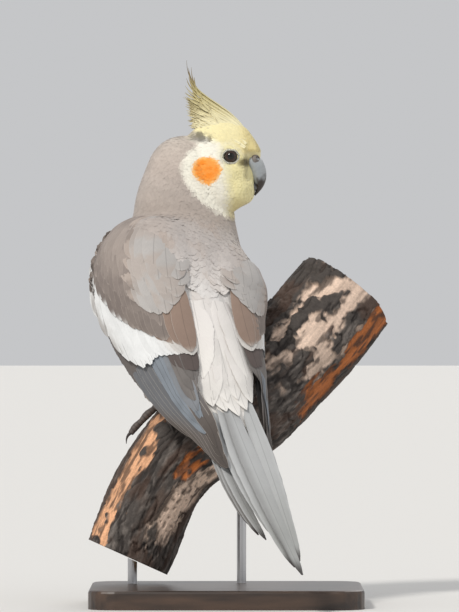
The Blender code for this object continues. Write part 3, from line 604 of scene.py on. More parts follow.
# Stand: the wood grain's places and tones, the brushed steel's roughness, and what each node is made of
WOOD_TONES = ((0.32, (0.018, 0.011, 0.008, 1)), (0.7, (0.075, 0.042, 0.026, 1)))
WOOD_GRAIN = (6.0, 90.0, 40.0)
STEEL_TONE = (0.5, 0.5, 0.51, 1)
STEEL_BRUSHING = (40.0, 40.0, 2500.0)
STEEL_ROUGHNESS = (0.22, 0.42)
STAND_SLOTS = {"stand_base": "stand_wood", "stand_rod_low": "stand_metal", "stand_rod_high": "stand_metal"}


def make_stage():
    camera = bpy.data.objects.new("camera", bpy.data.cameras.new("camera"))
    camera.location = CAMERA_PLACE
    camera.rotation_euler = (math.radians(90), 0, 0)
    camera.data.lens = CAMERA_LENS
    camera.data.sensor_width = SENSOR_WIDTH
    camera.data.clip_end = 100
    bpy.context.scene.collection.objects.link(camera)
    bpy.context.scene.camera = camera

    bpy.ops.mesh.primitive_circle_add(vertices=96, radius=FLOOR_RADIUS, fill_type="NGON", location=(0, 0, 0))
    floor = bpy.context.object
    floor.name = "floor"
    floor.data.materials.append(new_material("floor_finish", 0.9, Base_Color=FLOOR_TONE)[0])

    world = bpy.data.worlds.new("studio")
    world.use_nodes = True
    bpy.context.scene.world = world
    background = world.node_tree.nodes["Background"]
    background.inputs["Color"].default_value = SKY_TONE
    background.inputs["Strength"].default_value = SKY_STRENGTH
    for name, (place, strength, softness, tone) in LIGHTS.items():
        light = bpy.data.lights.new(name, "SUN")
        light.energy, light.angle, light.color = strength, math.radians(softness), tone
        lamp = bpy.data.objects.new(name, light)
        lamp.rotation_euler = (-Vector(place)).to_track_quat("-Z", "Y").to_euler()
        bpy.context.scene.collection.objects.link(lamp)
    bpy.context.scene.view_settings.view_transform = "Standard"


def make_stand():
    wood, tree, shader = new_material("stand_wood_finish", 0.38, Coat_Weight=0.25, Coat_Roughness=0.2)
    grain = noise_node(tree, stretched_place(tree, WOOD_GRAIN), 4.0, 6.0)
    tones = add_node(tree, "ShaderNodeValToRGB", {0: grain})
    for element, (place, tone) in zip(tones.color_ramp.elements, WOOD_TONES):
        element.position = place
        element.color = tone
    tree.links.new(tones.outputs[0], shader.inputs["Base Color"])
    bump_shader(tree, shader, grain, 0.25, 0.0003)

    steel, tree, shader = new_material("stand_metal_finish", 0.3, Metallic=1.0, Base_Color=STEEL_TONE)
    brushing = noise_node(tree, stretched_place(tree, STEEL_BRUSHING), 1.0, 3.0)
    values = {0: brushing, 3: STEEL_ROUGHNESS[0], 4: STEEL_ROUGHNESS[1]}
    rough = add_node(tree, "ShaderNodeMapRange", values).outputs[0]
    tree.links.new(rough, shader.inputs["Roughness"])
    finishes = {"stand_wood": wood, "stand_metal": steel}
    for name, slot in STAND_SLOTS.items():
        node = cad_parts[name]
        node.data.materials.clear()
        node.data.materials.append(finishes[slot])


# Perch: distance along it, then the centre line and the radius
PERCH_LINE = (
    (0, -39, 6, 24.5, 22.5),
    (41, -22.3, 8, 61.5, 22.5),
    (70, -4.2, 13, 84.5, 24.5),
    (109, 25.4, 28, 106, 27),
    (160, 57.6, 48, 138.5, 28),
    (193, 77.5, 59, 163.5, 28),
)
PERCH_LENGTH = PERCH_LINE[-1][0]
PERCH_LUMPS = ((3, 0.05, 0.031), (2, -0.09, 0.019))
PERCH_ROWS = 340
PERCH_COLUMNS = 250
PERCH_CUT_SHARES = (0.985, 0.9, 0.78, 0.64, 0.5, 0.36, 0.22, 0.1, 0.01)
CHAR_BLACK = srgb(40, 35, 33)
CHAR_GREY = srgb(122, 114, 108)
CHAR_BROWN = srgb(84, 62, 50)
WOOD_PALE = srgb(208, 184, 166)
WOOD_SALMON = srgb(216, 164, 126)
WOOD_ORANGE = srgb(170, 100, 52)
WOOD_CUT = srgb(206, 172, 128)
# Size and stretch along the branch of the bark's noise, for plates, for lumps and for bare wood's grain
BARK_ROUND = 25
PLATE_STRETCH = 0.35
LUMP_STRETCH = 0.9
GRAIN_STRETCH = 0.08
# Where the bark is off, as start, end and blur: the sides it faces in degrees, and the distances along
SALMON_SIDES = (44, 78, 3)
PITTED_ENDS = (16, 78, 3)
PALE_SIDES = (-16, 62, 3)
ORANGE_SIDES = (-50, -20, 3)
EDGE_ORANGE_SIDES = (-8, 6, 2)
EDGE_ORANGE_ENDS = (46, 80, 3)
FAR_SIDES = (118, 190, 8)
LOWER_PART_END = (84, 92)
UPPER_PART_START = (118, 128)
# How many degrees and mm the patches' borders wander
PATCH_WANDER = (46, 26)
PATCH_TEAR = 24


def perch_frame(along):
    """The branch's middle line, the directions to the camera and upwards across it, and its radius."""
    along = np.asarray(along)
    values = smooth_at(PERCH_LINE, along)
    ahead = unit((smooth_at(PERCH_LINE, along + 0.5) - smooth_at(PERCH_LINE, along - 0.5))[..., :3])
    across = unit(np.cross(ahead, UP))
    return values[..., :3], across, np.cross(across, ahead), values[..., 3]


def perch_surface(along, angle, lift=0.0):
    """Points on the branch. Angle 0 faces the camera and a quarter turn is on its upper left side."""
    centre, across, above, radius = perch_frame(along)
    swell = sum(share * np.sin(count * angle + turn * along) for count, turn, share in PERCH_LUMPS)
    outward = across * np.cos(angle)[..., None] + above * np.sin(angle)[..., None]
    return centre + outward * (radius * (1 + swell) + lift)[..., None]


def window(value, start, end, soft):
    """1 between start and end, fading out over soft at both."""
    return ramp(value, start - soft, start + soft) * (1 - ramp(value, end - soft, end + soft))


def bark_place(along, angle, stretch):
    return np.stack((np.cos(angle) * BARK_ROUND, np.sin(angle) * BARK_ROUND, along * stretch), axis=-1)


def bark(along, angle):
    """Height and colour of the branch: charred bark in plates, and bare wood where it has flaked off."""
    flat = bark_place(along, angle, PLATE_STRETCH)
    round_place = bark_place(along, angle, LUMP_STRETCH)
    degrees = np.degrees((angle + math.pi) % (2 * math.pi) - math.pi)
    torn = (layered_noise(flat, 1.8, 5) - 0.5) * PATCH_TEAR
    turned = degrees + (layered_noise(flat, 9, 3) - 0.5) * PATCH_WANDER[0] + torn
    moved = along + (layered_noise(round_place, 8, 9) - 0.5) * PATCH_WANDER[1] + torn * 0.7
    lower = 1 - ramp(moved, *LOWER_PART_END)
    upper = ramp(moved, *UPPER_PART_START)
    patches = layered_noise(round_place, 10, 21)
    salmon = window(turned, *SALMON_SIDES) * lower * ramp(patches, 0.36, 0.42)
    pitted = window(turned, -52, mix(-4, -26, ramp(along, 40, 74)), 2.5) * window(moved, *PITTED_ENDS)
    pale = window(turned, *PALE_SIDES) * upper * ramp(layered_noise(round_place, 7, 33), 0.44, 0.5)
    orange = window(turned, *ORANGE_SIDES) * upper
    edge_orange = window(turned, *EDGE_ORANGE_SIDES) * window(moved, *EDGE_ORANGE_ENDS) * (1 - pitted)
    far_side = window(np.abs(degrees), *FAR_SIDES) * ramp(patches, 0.5, 0.56) * 0.8
    bare = np.clip(salmon + pitted + pale + orange + edge_orange + far_side, 0, 1)

    grain = layered_noise(bark_place(along, angle, GRAIN_STRETCH), 1.6, 41)
    cracks = layered_noise(flat, 3.2, 52)
    plates = np.abs(layered_noise(flat, 4.6, 61, 3) - 0.5) * 2
    crack_lines = 1 - ramp(plates, 0.01, 0.12)
    pits = ramp(noise(round_place, 1.7, 71), 0.62, 0.82)
    rough = layered_noise(round_place, 2.2, 81)
    height = (
        (1 - bare) * (0.55 + 1.0 * (rough - 0.5) + 0.9 * (cracks - 0.5) - 1.1 * crack_lines)
        + bare * (-0.75 + 0.5 * (grain - 0.5))
        - 0.7 * pits * pitted
        + 1.5 * window(turned, 30, 100, 12) * upper * (1 - bare) * ramp(patches, 0.45, 0.6)
    )
    ashes = ramp(layered_noise(flat, 1.5, 55), 0.42, 0.7)
    ashes = ashes * ramp(layered_noise(round_place, 12, 56), 0.35, 0.65)
    colour = mix(CHAR_BLACK, CHAR_GREY, ((0.25 + 0.65 * ashes) * (1 - 0.8 * crack_lines))[..., None])
    rusty = ramp(layered_noise(flat, 6, 58), 0.52, 0.68)
    colour = mix(colour, CHAR_BROWN, (rusty * 0.5)[..., None])
    for share, tone in (
        (far_side, WOOD_PALE * 0.7),
        (pale, WOOD_PALE),
        # The pitted patch's pale wood is 1.2 times brighter, as painted light on a side the lamps leave in
        # shade
        (pitted, WOOD_PALE * 1.2),
        (salmon, WOOD_SALMON),
        (edge_orange, WOOD_ORANGE * 1.3),
        (orange, WOOD_ORANGE),
    ):
        shade = 0.5 + 0.95 * grain - 0.5 * pits * pitted
        colour = mix(colour, tone * shade[..., None], share[..., None])
    soot = ramp(layered_noise(flat, 2.6, 93), 0.5, 0.66) * bare * 0.75
    colour = mix(colour, CHAR_BLACK * 1.3, soot[..., None])
    return height, colour


def make_perch():
    along = np.linspace(0, PERCH_LENGTH, PERCH_ROWS)[:, None] + np.zeros(PERCH_COLUMNS)
    angle = np.linspace(0, 2 * math.pi, PERCH_COLUMNS, endpoint=False)[None, :] + np.zeros((PERCH_ROWS, 1))
    height, colour = bark(along, angle)
    rings = perch_surface(along, angle, height)
    centres = perch_frame(np.array((0.0, PERCH_LENGTH)))[0]
    rows, tints = [rings], [colour]
    for end, centre in zip((0, -1), centres):
        cut, cut_tints = [], []
        for share in PERCH_CUT_SHARES:
            ring = centre + (rings[end] - centre) * share
            year = 0.82 + 0.25 * noise(np.stack((np.full(PERCH_COLUMNS, share * 26),) * 3, axis=-1), 1.6, 5)
            edge = ramp(share, 0.9, 0.97)
            cut.append(ring)
            cut_tints.append(mix(WOOD_CUT * year[:, None], CHAR_BLACK, edge))
        cut, cut_tints = np.array(cut), np.array(cut_tints)
        if end == 0:
            rows.insert(0, cut[::-1])
            tints.insert(0, cut_tints[::-1])
        else:
            rows.append(cut)
            tints.append(cut_tints)
    rings, tints = np.concatenate(rows), np.concatenate(tints)
    perch = fix_normals(loft_mesh("branch", rings, tints))
    made, tree, shader = new_material("branch_finish", 0.82, Specular_IOR_Level=0.35)
    fine = noise_node(tree, place_of(tree), 900.0, 5.0, 0.7)
    level = add_node(tree, "ShaderNodeMapRange", {0: fine, 1: 0.25, 2: 0.75, 3: 0.72, 4: 1.28}).outputs[0]
    colour_shader(tree, shader, level)
    bump_shader(tree, shader, fine, 0.7, 0.0006)
    dress(perch, made, "charred_bark", "perch")


# The skin lies under the coat by this much
COAT_DEPTH = 1.3
HEAD_COAT_DEPTH = 0.7
SKIN_VOXEL = 0.95 * MM
BILL_GROOVE = 0.5
CHIN_PUFF = 1.8
KNEE = (6, 1, -8)
THIGH_RADII = (7.6, 7.8, 6.6, 4.6, 2.6)
FEET = {
    "left": {"stand": (74, 100), "hip": (27, 15.5, -12), "toes": ((-3, 52), (8, 46), (-20, -5), (-9, -50))},
    "right": {"stand": (101, 128), "hip": (24, 15.5, -12), "toes": ((3, 40), (-8, 38), (13, -34), (-2, -44))},
}
SOLE_HEIGHT = 2.2
ANKLE_HEIGHT = 9.0
THIGH_SHARE = 0.85
# Rows and columns of points round the head and the body
HEAD_GRID = (44, 56)
BODY_GRID = (90, 64)
# Rounds of smoothing for the whole skin and for the mantle, which lies between these ends of the spine
SKIN_ROUNDS = 9
MANTLE_ROUNDS = 90
MANTLE_ENDS = (-66, 8)
# Eye socket: how deep it is, how far under the lids its edge lies, and the distances from the eye's axis
# between which it rises to the lids and fades into the head
SOCKET_DEPTH = -2.0
SOCKET_UNDER_LIDS = 0.3
SOCKET_RISE = (2.6, 3.6)
SOCKET_FADE = (4.2, 6.2)
# The bill's groove along the gaze and in height, and the chin's place
GROOVE_START = (12.0, 15.5)
GROOVE_HEIGHTS = (-11.5, 3.4, 2.0)
CHIN_PLACE = (13.5, -18.5)
CHIN_REACH = (2, 9)


def circle_of(count):
    return np.linspace(0, 2 * math.pi, count, endpoint=False)


def tube_rings(points, radii, sides):
    """Rings of a round tapering tube."""
    ahead = unit(np.gradient(points, axis=0))
    first = unit(np.cross(ahead[0], (0.3, 0.9, 0.31)))
    angles = circle_of(sides)
    rings = []
    for point, direction, radius in zip(points, ahead, radii):
        first = unit(first - direction * np.dot(direction, first))
        second = np.cross(direction, first)
        ring = point + (np.outer(np.cos(angles), first) + np.outer(np.sin(angles), second)) * radius
        rings.append(ring)
    return np.array(rings)


def leg_points(name):
    """Hip, knee, end of the thigh, ankle and sole of a leg."""
    side, foot = SIDES[name], FEET[name]
    along, sideways, back = foot["hip"]
    hip = body_point(along, side * sideways, back)
    knee = body_point(along + KNEE[0], side * (sideways + KNEE[1]), back + KNEE[2])
    stand_along, angle = foot["stand"]
    sole = perch_surface(np.array(float(stand_along)), np.array(math.radians(angle)), np.array(SOLE_HEIGHT))
    ankle = sole + unit(knee - sole) * ANKLE_HEIGHT
    return hip, knee, mix(knee, ankle, THIGH_SHARE), ankle, sole


def head_rings(grow):
    """Rings round the head, from its back to the bill's root."""
    count, sides = HEAD_GRID
    first, last = HEAD_SECTIONS[0][0], HEAD_SECTIONS[-1][0]
    forward = mix(first, last, 0.5 - 0.5 * np.cos(np.pi * np.arange(count) / (count - 1)))
    top, bottom, width = np.moveaxis(smooth_at(HEAD_SECTIONS, forward), -1, 0)
    angle = circle_of(sides)[None]
    side = np.cos(angle) * (1 - HEAD_NARROWING * np.sin(angle)) * (width + grow)[:, None]
    height = ((top + bottom) / 2)[:, None] + np.sin(angle) * ((top - bottom) / 2 + grow)[:, None]
    return head_point(forward[:, None] + np.zeros_like(side), side, height)


def body_rings(grow):
    """Rings round the body, from the neck's top to the tail's root."""
    count, sides = BODY_GRID
    along = np.linspace(NECK_TOP, TAIL_BASE_END, count)
    width, back, belly = np.moveaxis(smooth_at(BODY_SECTIONS, along), -1, 0)
    angle = circle_of(sides)[None]
    depth = np.where(np.sin(angle) > 0, back[:, None], belly[:, None]) + grow
    side = np.cos(angle) * (width + grow)[:, None]
    return body_point(along[:, None] + np.zeros_like(depth), side, np.sin(angle) * depth)


def wing_base_rings(side):
    along = np.linspace(*WING_BASE_SPAN, 40)[:, None]
    across = np.linspace(0, 1, 24)[None]
    top = smooth_at(WING_BASE_TOP, along)[..., 0]
    depth = mix(2.4, smooth_at(WING_BASE_DEPTH, along)[..., 0], ramp(across, 0, 0.4))
    along = along + np.zeros_like(across)
    outer = wing_surface(side, along, across + np.zeros_like(along), top + np.zeros_like(across))
    inner = wing_surface(side, along, across + np.zeros_like(along), top - depth)
    return np.concatenate((outer, inner[:, ::-1]), axis=1)


def eye_axes(side):
    """The eye's centre, and the directions out of the head, forward and up in the plane of its lids."""
    forward, out, height = EYE_PLACE
    outward = unit(HEAD_RIGHT * side + GAZE * LID_TURN[0] + UP * LID_TURN[1])
    ahead = unit(GAZE - outward * np.dot(outward, GAZE))
    up = np.cross(outward, ahead) * side
    return head_point(forward, side * out, height), outward, ahead, up


def smooth_out(obj, rounds, group=""):
    """Adds a smoothing of an object's surface, or of a group of its points."""
    smooth = obj.modifiers.new("smooth", "SMOOTH")
    smooth.factor = 0.5
    smooth.iterations = rounds
    smooth.vertex_group = group


def make_skin():
    """One closed surface for the head, neck, body, thighs and the arms of the wings."""
    shells = [
        loft_mesh("body_shell", body_rings(-COAT_DEPTH)),
        loft_mesh("head_shell", head_rings(-HEAD_COAT_DEPTH)),
    ]
    for name, side in SIDES.items():
        shells.append(loft_mesh("arm_shell", wing_base_rings(side)))
        hip, knee, end, _, _ = leg_points(name)
        points = np.array((hip, mix(hip, knee, 0.5), knee, mix(knee, end, 0.5), end))
        shells.append(loft_mesh("thigh_shell", tube_rings(points, THIGH_RADII, 24)))
    for shell in shells:
        fix_normals(shell)
    skin = join("skin", shells)
    remesh = skin.modifiers.new("remesh", "REMESH")
    remesh.mode = "VOXEL"
    remesh.voxel_size = SKIN_VOXEL
    smooth_out(skin, SKIN_ROUNDS)
    apply_modifiers(skin)
    # Over the mantle the back runs into the wings with no crease
    along, _, back = body_place(points_of(skin.data))
    mantle = skin.vertex_groups.new(name="mantle")
    covered = (along > MANTLE_ENDS[0]) & (along < MANTLE_ENDS[1]) & (back > 2)
    mantle.add([int(k) for k in np.flatnonzero(covered)], 1.0, "REPLACE")
    smooth_out(skin, MANTLE_ROUNDS, mantle.name)
    apply_modifiers(skin)
    points = points_of(skin.data)
    forward, sideways, height = head_place(points)
    # The feathers draw back from the bill's sides, and the chin's stand out below it
    groove = ramp(forward, *GROOVE_START) * window(height, *GROOVE_HEIGHTS) * BILL_GROOVE
    from_chin = np.hypot(forward - CHIN_PLACE[0], height - CHIN_PLACE[1])
    puff = (1 - ramp(from_chin, *CHIN_REACH)) * CHIN_PUFF
    points = points - HEAD_RIGHT * (sideways * groove)[:, None]
    points = points + unit(points - head_point(5.0, 0.0, -8.0)) * puff[:, None]
    for side in SIDES.values():
        centre, outward, _, _ = eye_axes(side)
        rel = points - centre
        out = rel @ outward
        away = np.linalg.norm(rel - out[:, None] * outward, axis=1)
        rim = mix(SOCKET_DEPTH, LID_OUT - SOCKET_UNDER_LIDS, ramp(away, *SOCKET_RISE))
        limit = mix(rim, out, ramp(away, *SOCKET_FADE))
        lower = np.where((out > -3) & (away < SOCKET_FADE[1]), np.maximum(out - limit, 0), 0)
        points = points - outward * lower[:, None]
    set_points(skin.data, points)
    skin.data.update()
    skin.data.shade_smooth()
    return skin, points


# Markings of the head, as places (distance along the gaze, height) from its centre. The pale mask lies in
# front of this border, and it is the same on both sides.
MASK_BORDER = (
    (16, -33.0),
    (3.0, -31.0),
    (-3.5, -28.6),
    (-9.0, -24.8),
    (-15.5, -19.0),
    (-20.0, -12.5),
    (-22.2, -5.8),
    (-21.2, -0.2),
    (-17.4, 4.4),
    (-14.0, 7.0),
    (-15.0, 12.0),
    (-17.0, 20.0),
    (-10.0, 30.0),
    (30.0, 30.0),
    (30.0, -33.0),
)
# The camera sees the side of the head turned by this much, and the places were measured from there
GAZE_TURN = GAZE[1]
CHEEK_SPOT = (-8.4, -6.2)
CHEEK_SPOT_SIZE = (7.6, 7.4)
CHEEK_SPOT_POINT = (-7.4, -14.6)
MASK_WHITE = srgb(240, 236, 222)
MASK_CROWN = srgb(236, 225, 176)
MASK_FOREHEAD = srgb(232, 216, 156)
MASK_CHEEK = srgb(236, 226, 174)
CHIN_PAINTED_SHADE = srgb(200, 182, 120)
CHEEK_ORANGE = srgb(250, 144, 42)
CHEEK_ORANGE_EDGE = srgb(250, 186, 104)
LORES_DARK = srgb(98, 85, 48)
LORES_PLACE = (12.2, -2.0)
LORES_SIZE = (6.4, 3.3)
CREST_ROOT_PLACE = (-12.5, 11.2)
CREST_ROOT_SIZE = (8.0, 4.2)
CREST_ROOT_SLOPE = 0.18
# Blurs of the mask's border, of its crown's and of its yellow cheek's, and the depths below the centre over
# which painted shade darkens the chin
MASK_BLUR = (-1.6, 2.0)
CROWN_BLUR = (-1.5, 2.5)
CHEEK_BLUR = (-4.0, 5.0)
CHIN_SHADE_HEIGHTS = (18, 29)
MASK_WOBBLE = 2.2
# The brow's height at the back of the crown, over the eye and over the bill
BROW_HEIGHTS = (10.5, 7.5, 2.0)
# The cheek spot's lower point: half its width where it starts, that height, its length and its end's blur
CHEEK_POINT_HALF = 5.4
CHEEK_POINT_START = 8
CHEEK_POINT_LENGTH = 7.2
CHEEK_POINT_END = (14.4, 16.5)
CREST_ROOT_DARK = srgb(92, 88, 80)

# Markings of the body by distance along the spine
BODY_TONES = (
    (-110, *srgb(196, 185, 174)),
    (-95, *srgb(184, 172, 163)),
    (-80, *srgb(176, 165, 157)),
    (-62, *srgb(166, 155, 147)),
    (-40, *srgb(176, 168, 163)),
    (-18, *srgb(184, 177, 173)),
    (-4, *srgb(203, 197, 193)),
    (10, *srgb(218, 214, 211)),
    (30, *srgb(230, 226, 222)),
    (70, *srgb(230, 226, 221)),
    (94, *srgb(228, 224, 219)),
)
BELLY_TONES = (
    (-110, *srgb(176, 166, 158)),
    (-70, *srgb(158, 148, 141)),
    (0, *srgb(150, 141, 135)),
    (50, *srgb(160, 152, 146)),
    (94, *srgb(190, 184, 178)),
)
SHOULDER_TONES = ((-50, *srgb(150, 139, 132)), (-24, *srgb(140, 129, 122)), (0, *srgb(128, 117, 111)))
ARM_TONE = srgb(104, 98, 95)
WARM_TONE = srgb(170, 146, 128)
FLANK_TONE = srgb(164, 151, 142)
# Painted shade: the skin under the feathers is darker than the coat
SKIN_SHADE = 0.9


def border_distance(x, y, border):
    """Distance of places from a closed border, positive inside it."""
    corners = np.array(border, float)
    start, end = corners, np.roll(corners, -1, axis=0)
    place = np.stack((x, y), axis=-1)[:, None]
    edge = (end - start)[None]
    t = np.clip(((place - start) * edge).sum(axis=-1) / (edge**2).sum(axis=-1), 0, 1)
    near = np.linalg.norm(place - start - edge * t[..., None], axis=-1).min(axis=1)
    low, high = start[None, :, 1], end[None, :, 1]
    crosses = (low > y[:, None]) != (high > y[:, None])
    slope = np.where(high == low, 1.0, high - low)
    reach = start[None, :, 0] + (y[:, None] - low) / slope * (end - start)[None, :, 0]
    inside = (crosses & (x[:, None] < reach)).sum(axis=1) % 2 == 1
    return np.where(inside, near, -near)


def head_tones(forward, sideways, height):
    """Colour of the mask and its markings, and the share of it that covers the body's own colour."""
    wobble = (noise(np.stack((forward, sideways, height), axis=-1), 2.2, 11) - 0.5) * MASK_WOBBLE
    forward = forward + GAZE_TURN * np.abs(sideways)
    mask = ramp(border_distance(forward, height, MASK_BORDER) + wobble * 0.7, *MASK_BLUR)
    brow = mix(BROW_HEIGHTS[0], BROW_HEIGHTS[1], ramp(forward, -12, 2))
    brow = mix(brow, BROW_HEIGHTS[2], ramp(forward, 4, 12))
    crown = ramp(height - brow + wobble, *CROWN_BLUR)
    cheek = ramp(forward + 0.12 * height + wobble, *CHEEK_BLUR)
    colour = mix(MASK_WHITE, MASK_CHEEK, (cheek * (1 - crown))[:, None])
    colour = mix(colour, MASK_CROWN, crown[:, None])
    colour = mix(colour, MASK_FOREHEAD, (crown * ramp(forward, 6, 15))[:, None])
    # Painted shade under the bill darkens the chin to an olive yellow
    colour = mix(colour, CHIN_PAINTED_SHADE, (ramp(-height, *CHIN_SHADE_HEIGHTS) * ramp(forward, 0, 8) * 0.8)[:, None])

    x = (forward - CHEEK_SPOT[0]) / CHEEK_SPOT_SIZE[0]
    y = (height - CHEEK_SPOT[1]) / CHEEK_SPOT_SIZE[1]
    spot = 1 - np.hypot(x, y)
    point_x = np.abs(forward - mix(CHEEK_SPOT[0], CHEEK_SPOT_POINT[0], ramp(-height, 8, 14)))
    down = np.clip((-height - CHEEK_POINT_START) / CHEEK_POINT_LENGTH, 0, 1)
    point = np.minimum(mix(CHEEK_POINT_HALF, 0.0, down) - point_x, -6 - height) / 7
    point = point - ramp(-height, *CHEEK_POINT_END) * 0.6
    spot = np.maximum(spot, point) + wobble * 0.07
    on_side = ramp(np.abs(sideways), 5, 8)
    strand_places = np.stack((forward * 0.5, sideways * 0.2, height * 1.6), axis=-1)
    strands = ramp(layered_noise(strand_places, 1.6, 23), 0.3, 0.7)
    colour = mix(colour, CHEEK_ORANGE_EDGE, (ramp(spot, -0.1, 0.1) * on_side)[:, None])
    colour = mix(colour, CHEEK_ORANGE, (ramp(spot, 0.02, 0.34) * on_side * (0.62 + 0.38 * strands))[:, None])

    x = (forward - LORES_PLACE[0]) / LORES_SIZE[0]
    y = (height - LORES_PLACE[1]) / LORES_SIZE[1]
    lores = ramp(1 - np.hypot(x, y), 0, 0.7) * ramp(np.abs(sideways), 3, 5)
    colour = mix(colour, LORES_DARK, (lores * 0.9)[:, None])
    behind = forward - CREST_ROOT_PLACE[0]
    y = (height - CREST_ROOT_PLACE[1] + CREST_ROOT_SLOPE * behind) / CREST_ROOT_SIZE[1]
    dark = 1 - np.hypot(behind / CREST_ROOT_SIZE[0], y) + wobble * 0.24
    dark = ramp(dark, 0.0, 0.55) * 0.85
    colour = mix(colour, CREST_ROOT_DARK, dark[:, None])
    return colour, np.maximum(mask, dark)


def body_tones(points):
    """Colour of the skin and of the small feathers at points."""
    along, sideways, back = body_place(points)
    angle = np.arctan2(back, np.abs(sideways))
    upper = smooth_at(BODY_TONES, along)
    lower = smooth_at(BELLY_TONES, along)
    colour = mix(lower, upper, ramp(angle, -0.5, 0.25)[:, None])
    for wing_map in WING_MAPS.values():
        places, _, away = wing_map.find(points)
        arm = ramp(places[:, 0], 0, 10) * (1 - ramp(away, 9, 12))
        arm = arm * (1 - ramp(places[:, 1], 0.76, 0.88)) * (along > -60)
        colour = mix(colour, ARM_TONE, arm[:, None])
    # Towards the wings the mantle is browner
    flank = ramp(np.abs(sideways), 12, 26) * window(along, -58, 10, 14) * 0.5
    colour = mix(colour, FLANK_TONE, flank[:, None])
    forward, side, height = head_place(points)
    tones, mask = head_tones(forward, side, height)
    near_head = ramp(-along, 60, 66)
    return mix(colour, tones, (mask * near_head)[:, None])


def unwrapped(box, turn, run):
    """Places in a box of the bake's square, from shares round and along a form."""
    return np.stack((box[0] + box[2] * turn, box[1] + box[3] * np.clip(run, 0, 1)), axis=-1)


# Boxes of the bake's square (u, v, width, height) for the body and for the head
BAKE_BODY = (0.02, 0.02, 0.5, 0.96)
BAKE_HEAD = (0.55, 0.52, 0.43, 0.46)
# Where the body and the head start along themselves, and their lengths
BAKE_BODY_RUN = (-112, 210)
BAKE_HEAD_RUN = (-24, 46)


def bake_home(points):
    """Places on the bake's square: the unwrap of the skin's own shape, body and head apart."""
    along, sideways, back = body_place(points)
    turn = np.arctan2(back, sideways) / (2 * math.pi) + 0.5
    body = unwrapped(BAKE_BODY, turn, (along - BAKE_BODY_RUN[0]) / BAKE_BODY_RUN[1])
    forward, side, height = head_place(points)
    turn = np.arctan2(height + 4, side) / (2 * math.pi) + 0.5
    head = unwrapped(BAKE_HEAD, turn, (forward - BAKE_HEAD_RUN[0]) / BAKE_HEAD_RUN[1])
    on_head = (forward > -12) & (along < -84)
    return np.where(on_head[:, None], head, body)


# Small feathers: how far each row of their points rises off the skin, as a share, and their painted light and
# shade there: darker at the root, lighter at the tip
COAT_RISE = (-0.45, 0.1, 0.55, 0.85, 1.0)
COAT_SHADE = np.array((0.9, 0.95, 1.0, 1.02, 1.04))
COAT_COLUMNS = (-1, 0, 1)
COAT_COLUMN_SHADE = np.array((1.0, 0.97, 1.0))
COAT_CANDIDATES = 240000
# Distance along the spine, length, width, spacing and rise
COAT_SIZES = (
    (-110, 4.2, 2.3, 0.8, 0.45),
    (-95, 5.0, 2.8, 0.9, 0.5),
    (-75, 7.0, 4.2, 1.1, 0.5),
    (-45, 9.5, 6.4, 1.4, 0.55),
    (0, 10.5, 7.4, 1.55, 0.6),
    (45, 12.0, 7.4, 1.7, 0.7),
    (94, 12.0, 6.0, 1.8, 1.0),
)
# The same by distance from the bill, on the head, and by the feet
HEAD_COAT_SIZES = (
    (6, 1.7, 0.9, 0.55, 0.35),
    (14, 2.4, 1.2, 0.6, 0.4),
    (24, 3.3, 1.6, 0.68, 0.45),
    (38, 4.0, 2.0, 0.75, 0.5),
)
LEG_COAT_SIZE = np.array((5.0, 2.8, 1.1, 0.8))
# How closely a wing's arm keeps small feathers off, and how far under it none are needed
ARM_REACH = 7
UNDER_ARM_REACH = 26
# The mouth's box, without feathers: its start along the gaze, lowest and highest place and half width
MOUTH_BOX = (12.0, -17.5, 3.0, 5.9)
# The coat's pieces part at these distances along the spine and along the gaze
HEAD_PIECE = (-84, -14)
NECK_PIECE = -50
LENGTH_SPREAD = (0.88, 1.12)
SIZE_SPREAD = (0.9, 1.1)
TONE_SPREAD = 0.028
COAT_JITTER = math.radians(7)
EYE_CLEARING = 4.4
MANTLE_OVERLAP = 0.9
WING_MAP_STEPS = (-50, 100, 1.5)
WING_MAP_COLUMNS = 41


class WingMap:
    """Finds where on a folded wing's surface a point lies."""

    def __init__(self, side):
        along = np.arange(*WING_MAP_STEPS)[:, None] + np.zeros(WING_MAP_COLUMNS)
        across = np.linspace(0, 1, WING_MAP_COLUMNS)[None] + np.zeros((len(along), 1))
        self.places = np.stack((along, across), axis=-1).reshape(-1, 2)
        self.points = wing_surface(side, along, across).reshape(-1, 3)
        self.normals = wing_normal(side, along, across).reshape(-1, 3)
        self.tree = KDTree(len(self.points))
        for k, point in enumerate(self.points):
            self.tree.insert(point, k)
        self.tree.balance()

    def find(self, points):
        """For each point its place along and across the wing, and its height over the wing's surface."""
        index = np.array([self.tree.find(point)[1] for point in points])
        height = ((points - self.points[index]) * self.normals[index]).sum(axis=1)
        away = np.linalg.norm(points - self.points[index], axis=1)
        return self.places[index], height, away


WING_MAPS = {side: WingMap(side) for side in SIDES.values()}


class Skin:
    """The skin's surface, for setting feathers on it."""

    def __init__(self, obj):
        shape = bmesh.new()
        shape.from_mesh(obj.data)
        bmesh.ops.triangulate(shape, faces=shape.faces)
        self.tree = BVHTree.FromBMesh(shape)
        corners = np.array([[v.co for v in f.verts] for f in shape.faces], float) / MM - TABLE_ORIGIN
        shape.free()
        crossed = np.cross(corners[:, 1] - corners[:, 0], corners[:, 2] - corners[:, 0])
        self.corners, self.normals = corners, unit(crossed)
        self.areas = np.linalg.norm(crossed, axis=1) / 2

    def scatter(self, count):
        """Random points spread evenly over the skin, with its normals there."""
        face = random.choice(len(self.areas), count, p=self.areas / self.areas.sum())
        a, b = random.random((2, count, 1))
        a, b = np.where(a + b > 1, 1 - a, a), np.where(a + b > 1, 1 - b, b)
        corner = self.corners[face]
        return corner[:, 0] * (1 - a - b) + corner[:, 1] * a + corner[:, 2] * b, self.normals[face]

    def nearest(self, points):
        found = [self.tree.find_nearest(Vector(p)) for p in (points + TABLE_ORIGIN) * MM]
        spots = np.array([hit[0] for hit in found], float) / MM - TABLE_ORIGIN
        return spots, np.array([hit[1] for hit in found], float)


